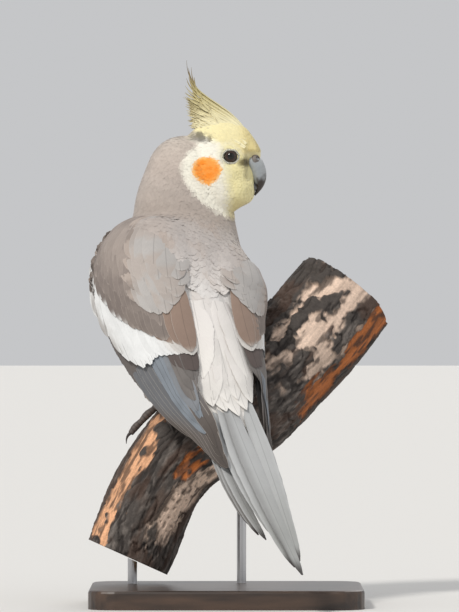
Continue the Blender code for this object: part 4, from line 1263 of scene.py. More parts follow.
def thin_out(points, spacing):
    """Indices of points that keep the given distances between them."""
    tree = KDTree(len(points))
    for k, point in enumerate(points):
        tree.insert(point, k)
    tree.balance()
    taken = np.zeros(len(points), bool)
    kept = []
    for k, point in enumerate(points):
        if taken[k]:
            continue
        kept.append(k)
        for _, other, _ in tree.find_range(point, spacing[k]):
            taken[other] = True
    return np.array(kept)


def coat_flow(points, normals, wings):
    """Direction in which small feathers lie: away from the bill on the head, elsewhere towards the tail."""
    along = body_place(points)[0]
    flow = spine_frame(np.minimum(along, SPINE[-1][0]))[1]
    forward = head_place(points)[0]
    from_bill = unit(points - head_point(19.0, 0.0, -2.0))
    from_bill = unit(from_bill - normals * dot(from_bill, normals))
    on_head = ramp(forward, -24, -6) * ramp(-along, 80, 92)
    flow = unit(flow - normals * dot(flow, normals))
    flow = mix(flow, from_bill, on_head[:, None])
    for side, (places, _, away) in wings.items():
        here, across = places.T
        ahead = wing_surface(side, here + 1, across) - wing_surface(side, here, across)
        share = (1 - ramp(away, 5, 9)) * (along > -60) * 0.7
        flow = mix(flow, unit(ahead), share[:, None])
    for name in SIDES:
        _, knee, end, _, _ = leg_points(name)
        near = 1 - ramp(np.linalg.norm(points - mix(knee, end, 0.7), axis=1), 9, 15)
        flow = mix(flow, unit(end - knee), near[:, None])
    return unit(flow - normals * dot(flow, normals))


def coat_sizes(points):
    """Length, width, spacing and rise of small feathers, from the bill's root to the tail."""
    along = body_place(points)[0]
    forward = head_place(points)[0]
    from_bill = np.linalg.norm(points - head_point(17.0, 0.0, -2.0), axis=1)
    on_head = ramp(forward, -24, -10) * ramp(-along, 80, 92)
    sizes = mix(smooth_at(COAT_SIZES, along), smooth_at(HEAD_COAT_SIZES, from_bill), on_head[:, None])
    for name in SIDES:
        _, _, end, _, _ = leg_points(name)
        near = 1 - ramp(np.linalg.norm(points - end, axis=1), 6, 22)
        sizes = mix(sizes, LEG_COAT_SIZE, near[:, None])
    return sizes


def open_to_coat(points, wings):
    """Whether small feathers grow at points: not on the wings' arms or under them, nor by eyes and bill."""
    along = body_place(points)[0]
    keep = np.ones(len(points), bool)
    for side, (places, over, away) in wings.items():
        on_arm = (away < ARM_REACH) & (places[:, 0] > -8 + 6 * places[:, 1]) & (over > -ARM_REACH)
        hidden = (over < -6) & (away < UNDER_ARM_REACH) & (np.abs(places[:, 1] - 0.5) < 0.47) & (along > -40)
        keep &= ~(on_arm | hidden)
        centre, outward, _, _ = eye_axes(side)
        rel = points - centre
        out = rel @ outward
        from_eye = np.linalg.norm(rel - out[:, None] * outward, axis=1)
        keep &= ~((from_eye < EYE_CLEARING) & (out > -4))
    forward, side, height = head_place(points)
    start, low, high, half = MOUTH_BOX
    return keep & ~((forward > start) & (height > low) & (height < high) & (np.abs(side) < half))


def make_coat(skin):
    """Small feathers over the head, neck, body, thighs and shoulders, as several pieces."""
    surface = Skin(skin)
    points, normals = surface.scatter(COAT_CANDIDATES)
    order = random.permutation(COAT_CANDIDATES)
    points, normals = points[order], normals[order]
    wings = {side: wing_map.find(points) for side, wing_map in WING_MAPS.items()}
    sizes = coat_sizes(points)
    # The mantle's last feathers lie over the roots of the wings' rows
    for places, _, away in wings.values():
        overlap = (1 - ramp(away, 4, 8)) * window(places[:, 0], -26, 2, 8) * ramp(places[:, 1], 0.3, 0.5)
        sizes[:, 3] += overlap * MANTLE_OVERLAP
    kept = np.flatnonzero(open_to_coat(points, wings))
    kept = kept[thin_out(points[kept], sizes[kept, 2])]
    points, normals, sizes = points[kept], normals[kept], sizes[kept]
    wings = {side: tuple(v[kept] for v in found) for side, found in wings.items()}
    count = len(points)

    flow = coat_flow(points, normals, wings)
    turn = random.normal(0, COAT_JITTER, (count, 1))
    flow = flow * np.cos(turn) + np.cross(normals, flow) * np.sin(turn)
    length = sizes[:, 0] * random.uniform(*LENGTH_SPREAD, count)
    rows = len(COAT_RISE)
    lines, facing = np.empty((count, rows, 3)), np.empty((count, rows, 3))
    spot, normal, direction = points, normals, flow
    for row in range(rows):
        if row:
            spot, normal = surface.nearest(spot + direction * (length / (rows - 1))[:, None])
            direction = unit(direction - normal * dot(direction, normal))
        rise = COAT_RISE[row] * sizes[:, 3] * random.uniform(*SIZE_SPREAD, count)
        lines[:, row] = spot + normal * rise[:, None]
        facing[:, row] = normal
    shape = vane_rows(ROUND_TIP, rows)[1]
    widths = sizes[:, 1:2] * shape[None] * random.uniform(*SIZE_SPREAD, (count, 1))

    colour = coat_tones(lines[:, 3], wings)
    colour = colour * random.normal(1, TONE_SPREAD, (count, 1))
    # Painted shade: each small feather is darker at its root and lighter towards its tip
    tint = colour[:, None, None, :] * COAT_SHADE[None, :, None, None] * COAT_COLUMN_SHADE[:, None]
    homes = bake_home(points)

    along, _, back = body_place(points)
    forward = head_place(points)[0]
    on_head = (along < HEAD_PIECE[0]) & (forward > HEAD_PIECE[1])
    wing_near = np.min([found[2] for found in wings.values()], axis=0) < 8
    on_body = along >= NECK_PIECE
    regions = {
        "coat_head": on_head,
        "coat_neck": ~on_head & ~on_body,
        "coat_shoulders": on_body & wing_near,
        "coat_back": on_body & ~wing_near & (back > 0),
        "coat_front": on_body & ~wing_near & (back <= 0),
    }
    made = feather_material("coat_finish")
    for name, chosen in regions.items():
        vaned = vanes(lines[chosen], facing[chosen], widths[chosen], COAT_COLUMNS, 0.07, 0.0, double=False)
        piece = feather_piece(name, vaned, tint[chosen], homes[chosen])
        dress(piece, made, "plumage_face" if name == "coat_head" else "plumage_grey")


def coat_tones(points, wings):
    """Colours of small feathers: the skin's, browner on the shoulders and softly mottled."""
    colour = body_tones(points)
    along, sideways, back = body_place(points)
    for places, _, away in wings.values():
        shoulder = smooth_at(SHOULDER_TONES, places[:, 0])
        share = (1 - ramp(away, 5, 8)) * ramp(places[:, 0], -46, -22) * (1 - ramp(places[:, 1], 0.4, 0.7))
        share = share * (along > -60)
        colour = mix(colour, shoulder, share[:, None])
    patches = layered_noise(points, 7, 5)
    waves = layered_noise(np.stack((sideways * 0.4, along * 1.3, back * 0.4), axis=-1), 3.6, 61)
    covered = ramp(-head_place(points)[0], 8, 20)
    colour = colour * (1 + (0.1 * (patches - 0.5) + 0.18 * (waves - 0.5)) * covered)[:, None]
    warm = ramp(layered_noise(points, 9, 29), 0.55, 0.72) * window(along, -70, 24, 12) * 0.22
    return mix(colour, WARM_TONE, warm[:, None])


# Rows of wing feathers, from the lowest. Roots and tips are lines through the row: how far through it,
# distance along the spine and distance across the wing, from 0 at its lower to 1 at its upper edge.
# Width, for the first and the last feather, and height over the wing's surface are in mm.
# A group with steps is repeated that many times, each time step mm further forward and lift mm higher.
# Feathers come up from their roots over rise mm, and taper shortens the later rows.
WING_ROWS = {
    "primaries": {
        "count": 8,
        "roots": ((0, 26, 0.10), (1, 26, 0.44)),
        "tips": ((0, 76, 0.06), (0.4, 99, 0.22), (0.7, 106, 0.5), (1, 92, 0.9)),
        "widths": (7.4, 9.2),
        "height": (-3.9, -3.4),
        "shape": FLIGHT_TIP,
        "tilt": 7,
    },
    "secondaries": {
        "count": 7,
        "roots": ((0, 24, 0.40), (1, 20, 0.88)),
        "tips": ((0, 82, 0.42), (0.5, 70, 0.66), (1, 56, 0.94)),
        "widths": (9.5, 10.5),
        "height": (-2.9, -2.5),
        "shape": ROUND_TIP,
        "tilt": 7,
    },
    "tertials": {
        "count": 5,
        "roots": ((0, 8, 0.66), (1, 4, 0.9)),
        "tips": ((0, 46, 0.72), (0.5, 50, 0.84), (1, 51, 0.96)),
        "widths": (9.0, 9.0),
        "height": (-2.1, -1.9),
        "shape": SQUARE_TIP,
        "tilt": 4,
    },
    "greater_coverts": {
        "count": 18,
        "roots": ((0, -32, 0.08), (1, 14, 0.90)),
        "tips": (
            (0, -13, 0.0),
            (0.07, 6, 0.02),
            (0.15, 21, 0.07),
            (0.3, 35, 0.2),
            (0.6, 38, 0.46),
            (0.8, 41, 0.72),
            (1, 43.5, 0.97),
        ),
        "widths": (10.5, 12.5),
        "height": (-1.6, -1.2),
        "shape": ROUND_TIP,
        "tilt": 5,
    },
    "tertial_cover": {
        "count": 4,
        "roots": ((0, 6, 0.68), (1, 0, 0.88)),
        "tips": ((0, 33, 0.64), (0.5, 38, 0.80), (1, 41.5, 0.95)),
        "widths": (12.5, 12.5),
        "height": (-0.9, -0.6),
        "shape": ROUND_TIP,
        "tilt": 4,
    },
    "coverts": {
        "count": 13,
        "roots": ((0, -34, 0.10), (1, 0, 0.74)),
        "tips": ((0, -9, 0.06), (0.3, 8, 0.19), (0.65, 23, 0.40), (1, 33, 0.66)),
        "widths": (8.5, 12.0),
        "height": (-0.8, -0.4),
        "shape": ROUND_TIP,
        "tilt": 5,
        "steps": 5,
        "step": 7.0,
        "lift": 0.05,
        "rise": 24.0,
    },
    "scapulars": {
        "count": 9,
        "roots": ((0, -20, 0.50), (1, -18, 0.92)),
        "tips": ((0, 8, 0.46), (0.4, 20, 0.62), (0.7, 20, 0.80), (1, 8, 0.94)),
        "widths": (12.0, 13.0),
        "height": (0.1, 0.3),
        "shape": ROUND_TIP,
        "tilt": 4,
        "steps": 4,
        "step": 7.5,
        "lift": 0.0,
        "rise": 34.0,
        "taper": 0.2,
    },
}
WING_VANE_ROWS = 22
WING_COLUMNS = (-1, -0.94, -0.6, -0.2, 0.2, 0.6, 0.94, 1)
WING_THICKNESS = 0.22
ROOT_SINK = 1.2
ROOT_RISE = 12.0

PRIMARY_TONE = srgb(98, 91, 87)
PRIMARY_TIP = srgb(72, 65, 61)
PRIMARY_EDGE = srgb(190, 182, 172)
SECONDARY_TONE = srgb(126, 133, 141)
SECONDARY_INNER = srgb(112, 107, 104)
SECONDARY_EDGE = srgb(168, 172, 176)
SECONDARY_DARK = srgb(58, 58, 62)
TERTIAL_PAINTED_SHADE = srgb(88, 78, 75)
TERTIAL_TONE = srgb(146, 125, 112)
TERTIAL_RIM = srgb(196, 190, 184)
COVERT_WHITE = srgb(226, 227, 227)
COVERT_STRAND = srgb(132, 124, 117)
COVERT_BROWN = srgb(122, 112, 106)
COVERT_DARK = srgb(106, 96, 92)
COVERT_EDGE = srgb(164, 153, 145)
LESSER_TONE = srgb(150, 139, 132)
SCAPULAR_TONE = srgb(172, 168, 165)
SCAPULAR_WARM = srgb(168, 148, 134)
SCAPULAR_DARK = srgb(122, 112, 106)
SCAPULAR_EDGE = srgb(192, 186, 180)


def rim_of(s):
    """1 on a vane's very edge, 0 from its next column on."""
    return ramp(s, 0.945, 1.0)


def wing_tint(name, step, share, t, s, spots):
    """Colour of wing feathers. share, t and s run through the row, along the feather and across it."""
    share, t, s = np.broadcast_arrays(share, t, s)
    ones = np.ones((*share.shape, 1))
    edges = np.maximum(rim_of(s), rim_of(-s))
    near_tip = ramp(t, 0.93, 1.0)
    rim = np.maximum(edges, near_tip)
    if name == "primaries":
        colour = mix(PRIMARY_TONE * ones, PRIMARY_TIP, ramp(t, 0.55, 1)[..., None])
        colour = mix(colour, SECONDARY_TONE * 0.7, ((1 - ramp(t, 0.4, 0.75)) * 0.6)[..., None])
        colour = mix(colour, PRIMARY_EDGE, (np.maximum(rim_of(s) * 0.95, rim_of(-s) * 0.6))[..., None])
    elif name == "secondaries":
        colour = mix(SECONDARY_TONE * ones, SECONDARY_INNER, ramp(share, 0.4, 0.65)[..., None])
        colour = mix(colour, SECONDARY_EDGE, (rim_of(s) * 0.45 * (1 - ramp(t, 0.75, 0.9)))[..., None])
        outer_line = rim_of(-s) * (share < 0.4)
        colour = mix(colour, SECONDARY_DARK, (outer_line * 0.8)[..., None])
        colour = colour * (1 - 0.2 * ramp(layered_noise(spots, 8, 91), 0.45, 0.65))[..., None]
    elif name == "tertials":
        # The tertials lie under the tertial cover and are painted dark as shade
        colour = TERTIAL_PAINTED_SHADE * ones
    elif name == "greater_coverts":
        colour = mix(COVERT_WHITE * 0.86 * ones, COVERT_WHITE, ramp(t, 0.3, 0.7)[..., None])
        colour = mix(colour, TERTIAL_RIM, (ramp(share, 0.72, 0.9) * 0.8)[..., None])
        strands = layered_noise(np.stack((s * 4 + share * 60, t * 5, 0 * t), axis=-1), 1.0, 19)
        outermost = (1 - ramp(share, 0.1, 0.34)) * ramp(t, 0.55, 0.95)
        colour = mix(colour, COVERT_STRAND, (outermost * ramp(strands, 0.3, 0.6) * 0.85)[..., None])
        colour = colour * (0.86 + 0.2 * strands)[..., None]
    elif name == "tertial_cover":
        colour = mix(TERTIAL_TONE * ones, TERTIAL_TONE * 0.9, ramp(t, 0.5, 0.9)[..., None])
        colour = mix(colour, TERTIAL_RIM, (rim * 0.5)[..., None])
    elif name == "coverts":
        tone = mix(COVERT_BROWN, LESSER_TONE, min(step / 4, 1.0))
        patches = ramp(layered_noise(spots, 7, 37), 0.4, 0.65)
        colour = mix(tone * ones, COVERT_DARK, (patches * 0.45)[..., None])
        colour = mix(colour, COVERT_EDGE, (rim * 0.55)[..., None])
        fringe = ramp(t, 0.9, 1.0) * (1 - ramp(share, 0.35, 0.6)) * (step < 1)
        colour = mix(colour, COVERT_WHITE, (fringe * 0.8)[..., None])
    else:
        outward = 1 - ramp(share, 0.1, 0.35)
        warm = ramp(layered_noise(spots, 9, 77), 0.48, 0.62)
        dark = outward * ramp(layered_noise(spots, 6, 70), 0.5, 0.6)
        colour = mix(SCAPULAR_TONE * ones, SCAPULAR_WARM, (np.maximum(outward * 0.6, warm * 0.35))[..., None])
        colour = mix(colour, SCAPULAR_DARK, (dark * 0.6)[..., None])
        colour = mix(colour, SCAPULAR_EDGE, (rim * 0.35)[..., None])
    shaft = 1 - ramp(np.abs(s), 0.0, 0.2)
    streaks = layered_noise(spots, 3.0, 15)
    return colour * ((0.92 + 0.16 * streaks) * (1 - 0.08 * shaft))[..., None]


def columns_of(columns):
    """Places across a doubled vane, for its upper and then its lower side."""
    columns = np.array(columns, float)
    return np.concatenate((columns, columns[1:-1]))


def bake_cells(count, columns):
    """Places and size of patches that share the bake's square."""
    left, low, width, height = BAKE_ALL
    size = np.array((width / columns, height / math.ceil(count / columns)))
    k = np.arange(count)
    places = np.stack((k % columns + 0.5, k // columns + 0.5), axis=-1) * size + np.array((left, low))
    return places, size * BAKE_FILL


def fray(shape, count):
    """Small irregularities of the vanes' edges."""
    return 1 + random.normal(0, 0.02, (count, len(shape)))


def wing_feathers(side):
    lines, facing, widths, tints, tilts = [], [], [], [], []
    across_places = columns_of(WING_COLUMNS)
    for name, row in WING_ROWS.items():
        count = row["count"]
        share = np.linspace(0, 1, count)
        places, shape = vane_rows(row["shape"], WING_VANE_ROWS)
        for step in range(row.get("steps", 1)):
            offset = 0.5 / count * (step % 2)
            shares = np.clip(share + offset + random.normal(0, 0.1 / count, count), 0, 1)
            forward = np.array((row.get("step", 0) * step, 0.0))
            root, tip = smooth_at(row["roots"], shares) - forward, smooth_at(row["tips"], shares) - forward
            tip = tip + np.stack((random.normal(0, 0.5, count), random.normal(0, 0.005, count)), axis=-1)
            spot = root[:, None] + (tip - root)[:, None] * places[None, :, None]
            height = (mix(*row["height"], share) + row.get("lift", 0) * step)[:, None]
            sunk = np.minimum(smooth_at(WING_BASE_TOP, root[:, 0]) - ROOT_SINK, height)
            reach = (tip - root)[:, :1] * places[None]
            rise = mix(sunk, height, ramp(reach, 0, row.get("rise", ROOT_RISE)))
            across = np.clip(spot[..., 1], 0, 1)
            line = wing_surface(side, spot[..., 0], across, rise)
            kept = share <= 1 - row.get("taper", 0) * max(step - 1, 0)
            width = mix(*row["widths"], share) * random.uniform(0.96, 1.04, count)
            spots = line[:, :, None] + across_places[None, None, :, None] * 2
            through, t = share[:, None, None], places[None, :, None]
            tint = wing_tint(name, step, through, t, side * across_places, spots)
            lines.append(line[kept])
            facing.append(wing_normal(side, spot[..., 0], across)[kept])
            widths.append((width[:, None] * shape[None] * fray(shape, count))[kept])
            tints.append((tint * random.normal(1, 0.03, (count, 1, 1, 1)))[kept])
            tilts.append(np.full(kept.sum(), -side * math.radians(row["tilt"])))
    return [np.concatenate(part) for part in (lines, facing, widths, tints, tilts)]


def feathers_in(name, parts, columns, camber, thickness, cells, material, slot, node):
    """Dresses a piece of large feathers, whose patches stand in so many cells across the bake's square."""
    lines, facing, widths, tints, tilts = parts
    vaned = vanes(lines, facing, widths, columns, camber, thickness, tilts)
    homes, patch = bake_cells(len(lines), cells)
    dress(feather_piece(name, vaned, tints, homes, patch), material, slot, node)


def make_wings():
    made = feather_material("wing_finish")
    for name, side in SIDES.items():
        feathers_in(
            "wing_feathers_" + name,
            wing_feathers(side),
            WING_COLUMNS,
            0.06,
            WING_THICKNESS,
            16,
            made,
            "plumage_wing",
            "wing_" + name,
        )


# Tail: its middle line runs on from the spine. Each feather: which side, its offset from the middle at root,
# halfway and tip, its length as a share of the tail's, its depth at root and tip, and its width.
TAIL_ROOT = np.array((17.0, -44.9, 110.6))
TAIL_TIP = np.array((52.6, -112, 20.4))
TAIL_FEATHERS = (
    (-1, -4.0, -5.0, 0.2, 1.0, 0.0, 0.0, 12.0),
    (1, 7.5, 6.5, 2.2, 0.92, 0.9, 0.7, 10.5),
    (-1, -6.5, -12.0, -1.6, 0.95, 1.3, 1.2, 11.5),
    (1, 8.0, 9.0, 3.5, 0.84, 2.2, 1.8, 10.0),
    (-1, -8.0, -16.5, -5.5, 0.78, 2.6, 2.4, 10.5),
    (1, 8.5, 9.5, 4.5, 0.74, 3.5, 2.9, 9.5),
    (-1, -8.5, -21.0, -8.5, 0.765, 5.2, 6.4, 9.5),
    (1, 8.5, 9.5, 5.5, 0.64, 4.8, 4.0, 9.0),
    (-1, -9.0, -22.0, -11.0, 0.73, 6.5, 7.7, 9.0),
    (1, 8.5, 9.0, 5.5, 0.55, 6.1, 5.1, 8.5),
    (-1, -9.5, -22.5, -13.0, 0.67, 7.8, 9.0, 8.5),
    (1, 8.0, 8.5, 5.5, 0.46, 7.4, 6.2, 8.0),
)
TAIL_TILT = math.radians(4)
TAIL_VANE_ROWS = 40
TAIL_TONE = srgb(176, 177, 177)
TAIL_LOW = srgb(158, 159, 157)
TAIL_EDGE = srgb(196, 197, 197)
TAIL_SEAM_DARK_AND_SHADOW = srgb(84, 82, 81)
TAIL_END = srgb(52, 46, 45)
TAIL_OUTER = srgb(120, 116, 113)
# Rows of coverts by the tail's root: their number, how far they spread, how far along the spine they end at
# the sides and in the middle, how far off it they lie over the tail, and where along it they start
UPPER_COVERT_ROWS = (
    (5, 12.5, 68.0, 75.0, 10.6, 34),
    (4, 11.0, 64.0, 68.0, 11.6, 28),
    (5, 13.5, 55.0, 60.0, 13.2, 20),
    (4, 12.0, 46.0, 50.0, 15.0, 14),
)
LOWER_COVERT_ROWS = ((5, 8.0, 84.0, 100.0, 6.0, 60),)
UPPER_COVERT_WIDTHS = (15.5, 17.5)
LOWER_COVERT_WIDTHS = (10.5, 12.0)
LOWER_COVERT_SPREAD = 0.72
LOWER_COVERT_SHADE = 0.78
COVERT_TILT = math.radians(5)
COVERT_TONE = srgb(230, 226, 221)
COVERT_ROOT_TONE = srgb(224, 219, 215)


def tail_axes():
    along = unit(TAIL_TIP - TAIL_ROOT)
    right = unit(BODY_RIGHT - along * np.dot(BODY_RIGHT, along))
    return along, right, np.cross(along, right)


def tail_feathers():
    along, right, above = tail_axes()
    places, shape = vane_rows(TAIL_TIP_SHAPE, TAIL_VANE_ROWS)
    table = np.array(TAIL_FEATHERS)
    side, at_root, halfway, at_tip, share, deep_root, deep_tip, width = table.T[:, :, None]
    length = np.linalg.norm(TAIL_TIP - TAIL_ROOT) * share
    t = places[None]
    offset = at_root * (1 - t) ** 2 + halfway * 2 * t * (1 - t) + at_tip * t * t
    depth = mix(deep_root, deep_tip, t)
    lines = TAIL_ROOT + along * (length * t)[..., None] + right * offset[..., None] - above * depth[..., None]
    facing = np.broadcast_to(above, lines.shape)
    widths = width * shape[None] * fray(shape, len(table))
    s = columns_of(WING_COLUMNS)[None, None]
    far = (t * share)[..., None]
    outer = side[..., None] * s
    ones = np.ones((*np.broadcast_shapes(far.shape, s.shape), 1))
    colour = mix(TAIL_TONE * ones, TAIL_LOW, ramp(far, 0.35, 0.8)[..., None])
    rank = np.arange(len(table))[:, None, None] / len(table)
    colour = mix(colour, TAIL_OUTER, (ramp(rank, 0.35, 0.8) * ramp(t[..., None], 0.2, 0.9))[..., None])
    # One dark seam, the feather's darker edge together with painted shadow, runs along the inner edge of the
    # uppermost feather, and a faint one along the outer edges of the others
    topmost = rank == 0
    seam_and_shadow = np.where(topmost, ramp(s, 0.45, 0.85) * 0.85, ramp(outer, 0.7, 1.0) * 0.2)
    colour = mix(colour, TAIL_SEAM_DARK_AND_SHADOW, seam_and_shadow[..., None])
    rim = ramp(-outer, 0.8, 0.95)
    colour = mix(colour, TAIL_EDGE, (rim * 0.4 * (1 - ramp(far, 0.6, 0.9)))[..., None])
    end = ramp(t[..., None], 0.9, 0.985)
    colour = mix(colour, TAIL_END, (end * 0.9)[..., None])
    shaft = 1 - ramp(np.abs(s), 0.02, 0.12)
    spots = lines[:, :, None] + np.zeros_like(ones)
    streaks = layered_noise(spots + s[..., None] * 2, 4, 8)
    colour = colour * ((0.94 + 0.12 * streaks) * (1 - 0.3 * shaft * ramp(far, 0.3, 0.7)))[..., None]
    return lines, facing, widths, colour, -side[:, 0] * TAIL_TILT


def tail_coverts(rows, sign):
    """Feathers over the tail's root where sign is 1, and under it where it is -1."""
    lines, facing, widths, tints, tilts = [], [], [], [], []
    places, shape = vane_rows(POINTED_TIP, TAIL_VANE_ROWS)
    s = columns_of(WING_COLUMNS)[None, None]
    for count, spread, end_side, end_middle, height, start in rows:
        across = np.linspace(-1, 1, count) + random.normal(0, 0.03, count)
        sideways = across * spread * (1 if sign > 0 else LOWER_COVERT_SPREAD)
        end = mix(end_middle, end_side, across**2) + random.normal(0, 0.8, count)
        along = start + (end - start)[:, None] * places[None]
        gathered = sideways[:, None] * mix(0.75, 1, places[None])
        sections = smooth_at(BODY_SECTIONS, along)
        depth = np.sqrt(np.clip(1 - (gathered / (sections[..., 0] + 7)) ** 2, 0.05, 1))
        over_body = sections[..., 1 if sign > 0 else 2] * depth + mix(-0.8, 1.1, ramp(places, 0, 0.5)[None])
        over_tail = height * np.sqrt(np.clip(1 - (gathered / 30) ** 2, 0.3, 1))
        lines.append(body_point(along, gathered, sign * mix(over_body, over_tail, ramp(along, 56, 74))))
        _, _, right, back = spine_frame(np.minimum(along, SPINE[-1][0]))
        facing.append(unit(back * sign + right * (gathered / 34)[..., None]))
        width = random.uniform(*(UPPER_COVERT_WIDTHS if sign > 0 else LOWER_COVERT_WIDTHS), count)
        widths.append(width[:, None] * shape[None] * fray(shape, count))
        t = places[None, :, None]
        ones = np.ones((count, len(places), s.shape[2], 1))
        colour = mix(COVERT_ROOT_TONE * ones, COVERT_TONE, ramp(t, 0.3, 0.8)[..., None])
        bright = np.maximum(ramp(np.abs(s), 0.0, 0.9), ramp(t, 0.8, 1.0))
        colour = colour * (0.96 + 0.06 * bright)[..., None] * (1 if sign > 0 else LOWER_COVERT_SHADE)
        tints.append(colour * random.normal(1, 0.03, (count, 1, 1, 1)))
        tilts.append(-np.sign(across) * COVERT_TILT * sign)
    return [np.concatenate(part) for part in (lines, facing, widths, tints, tilts)]


def make_tail():
    sets = [tail_feathers(), tail_coverts(UPPER_COVERT_ROWS, 1), tail_coverts(LOWER_COVERT_ROWS, -1)]
    parts = [np.concatenate(part) for part in zip(*sets)]
    made = feather_material("tail_finish")
    feathers_in("tail_feathers", parts, WING_COLUMNS, 0.05, WING_THICKNESS, 6, made, "plumage_tail", "tail")


# Bill, eyes, lids and cere are finer versions of the solids
BILL_TONE = srgb(150, 155, 158)
BILL_PAINTED_LIGHT = srgb(176, 178, 178)
BILL_TIP_AND_SHADE_TONE = srgb(46, 36, 30)
LOWER_BILL_SHADE = 0.7
BILL_GRID = (60, 48)
CERE_TONE = srgb(112, 105, 101)
NOSTRIL_SHADE = srgb(26, 20, 18)


def tinted_material(name, roughness, fine_size, fine_share, bump, **shader_values):
    """A material whose colour is the mesh's tint with fine mottling and bump. fine_size is in mm."""
    made, tree, shader = new_material(name, roughness, **shader_values)
    fine = noise_node(tree, place_of(tree), 1 / (fine_size * MM), 4.0, 0.6)
    colour_shader(tree, shader, level_of(tree, fine, fine_share))
    bump_shader(tree, shader, fine, bump)
    return made


def bill_rings(stations, count, sides):
    table = [(k, *ridge, *edge, width) for k, (ridge, edge, width) in enumerate(stations)]
    rows = smooth_at(table, np.linspace(0, len(stations) - 1, count))
    ridge, edge, width = rows[:, 0:2], rows[:, 2:4], rows[:, 4]
    middle, half = (ridge + edge) / 2, (ridge - edge) / 2
    angle = circle_of(sides)[None]
    up = np.sin(angle)
    # The ridge is a little keeled and the cutting edge a little sharp
    side = np.cos(angle) * (1 - 0.12 * up - 0.1 * up**2) * width[:, None]
    spot = middle[:, None] + half[:, None] * up[..., None]
    return head_point(spot[..., 0], side, spot[..., 1]), up + 0 * side


def make_bill():
    horn = tinted_material("bill_finish", 0.38, 1.1, 0.07, 0.18, Coat_Weight=0.15, Coat_Roughness=0.3)
    for name, stations in (("bill_upper", BILL_UPPER), ("bill_lower", BILL_LOWER)):
        rings, up = bill_rings(stations, *BILL_GRID)
        t = np.linspace(0, 1, BILL_GRID[0])[:, None] + np.zeros(BILL_GRID[1])
        dark = ramp(t + (layered_noise(rings, 2.0, 4) - 0.5) * 0.25, 0.52, 0.74)
        if name == "bill_lower":
            # Painted shade: the lower bill is darkened all over
            dark = np.full_like(dark, LOWER_BILL_SHADE)
        growth = 0.9 + 0.16 * noise(np.stack((t * 34,) * 3, axis=-1), 1.0, 13)
        # Painted light and shade: paler on the bill's ridge, and darker along its cutting edge below
        tone = mix(BILL_TONE, BILL_PAINTED_LIGHT, ramp(up, 0.2, 0.9)[..., None] * 0.5)
        tone = mix(tone, BILL_TIP_AND_SHADE_TONE, dark[..., None])
        tone = mix(tone, BILL_TIP_AND_SHADE_TONE, (ramp(-up, 0.75, 0.97) * 0.7)[..., None]) * growth[..., None]
        shape = loft_mesh(name + "_horn", rings, tone)
        dress(fix_normals(shape), horn, "bill_horn", name)
    make_cere()


def sphere_points(columns, rows):
    """Directions over a sphere whose poles are on the third axis, row after row."""
    turn, lift = np.meshgrid(circle_of(columns), np.linspace(-0.497, 0.497, rows) * math.pi, indexing="xy")
    return np.stack((np.cos(turn) * np.cos(lift), np.sin(turn) * np.cos(lift), np.sin(lift)), axis=-1)


def make_cere():
    """The bare skin over the bill's root, with its two nostrils."""
    skin_like = tinted_material("cere_finish", 0.6, 0.6, 0.1, 0.35)
    d = sphere_points(120, 80)
    forward, height = CERE_CENTRE
    place = np.array((forward, 0, height)) + d * CERE_SIZE
    colour = CERE_TONE * (0.85 + 0.3 * layered_noise(place, 1.2, 6))[..., None]
    for side in SIDES.values():
        spot = np.array((NOSTRIL_PLACE[0], side * NOSTRIL_PLACE[1], NOSTRIL_PLACE[2]))
        centre = np.array((forward, 0, height))
        outward = unit(spot - centre)
        away = np.linalg.norm(place - spot - outward * dot(place - spot, outward), axis=-1)
        faces_out = ((place - centre) @ outward) > 0
        rim = np.exp(-(((away - 1.5) / 0.45) ** 2)) * 0.3
        cup = (1 - ramp(away, 0.45, 1.15)) * 1.3
        place = place + outward * (np.where(faces_out, rim - cup, 0))[..., None]
        # Painted shade darkens each nostril's hollow
        colour = mix(colour, NOSTRIL_SHADE, (np.where(faces_out, 1 - ramp(away, 0.7, 1.15), 0))[..., None])
    rings = head_point(place[..., 0], place[..., 1], place[..., 2])
    cere = loft_mesh("cere", rings, colour)
    dress(fix_normals(cere), skin_like, "bill_horn")


IRIS_TONE = srgb(52, 30, 20)
IRIS_EDGE = srgb(22, 14, 11)
PUPIL_TONE = srgb(4, 3, 3)
PUPIL_ANGLE = 0.52
IRIS_ANGLE = 1.05
LID_TONE = srgb(222, 220, 206)
LID_DARK = srgb(128, 124, 112)
LID_BUDS = 30


def make_eyes():
    shine = {"Specular_IOR_Level": 0.25, "Coat_Weight": 0.5, "Coat_Roughness": 0.02}
    glossy = tinted_material("eye_finish", 0.1, 0.5, 0.12, 0.0, **shine)
    lid_skin = tinted_material("lid_finish", 0.6, 0.35, 0.12, 0.4)
    for name, side in SIDES.items():
        centre, outward, ahead, up = eye_axes(side)
        d = sphere_points(72, 48)
        rings = centre + (d[..., :1] * ahead + d[..., 1:2] * up + d[..., 2:] * outward) * EYE_RADIUS
        from_axis = np.arccos(np.clip(d[..., 2], -1, 1))
        rays = 0.8 + 0.4 * noise(np.stack((d[..., 0] * 9, d[..., 1] * 9, d[..., 2]), axis=-1), 0.7, 3)
        colour = mix(IRIS_TONE * rays[..., None], IRIS_EDGE, ramp(from_axis, 0.75, IRIS_ANGLE)[..., None])
        colour = mix(PUPIL_TONE, colour, ramp(from_axis, PUPIL_ANGLE - 0.03, PUPIL_ANGLE + 0.04)[..., None])
        eye = loft_mesh("eyeball_" + name, rings, colour)
        dress(fix_normals(eye), glossy, "eye", "eye_" + name)
        make_lids(name, side, lid_skin)


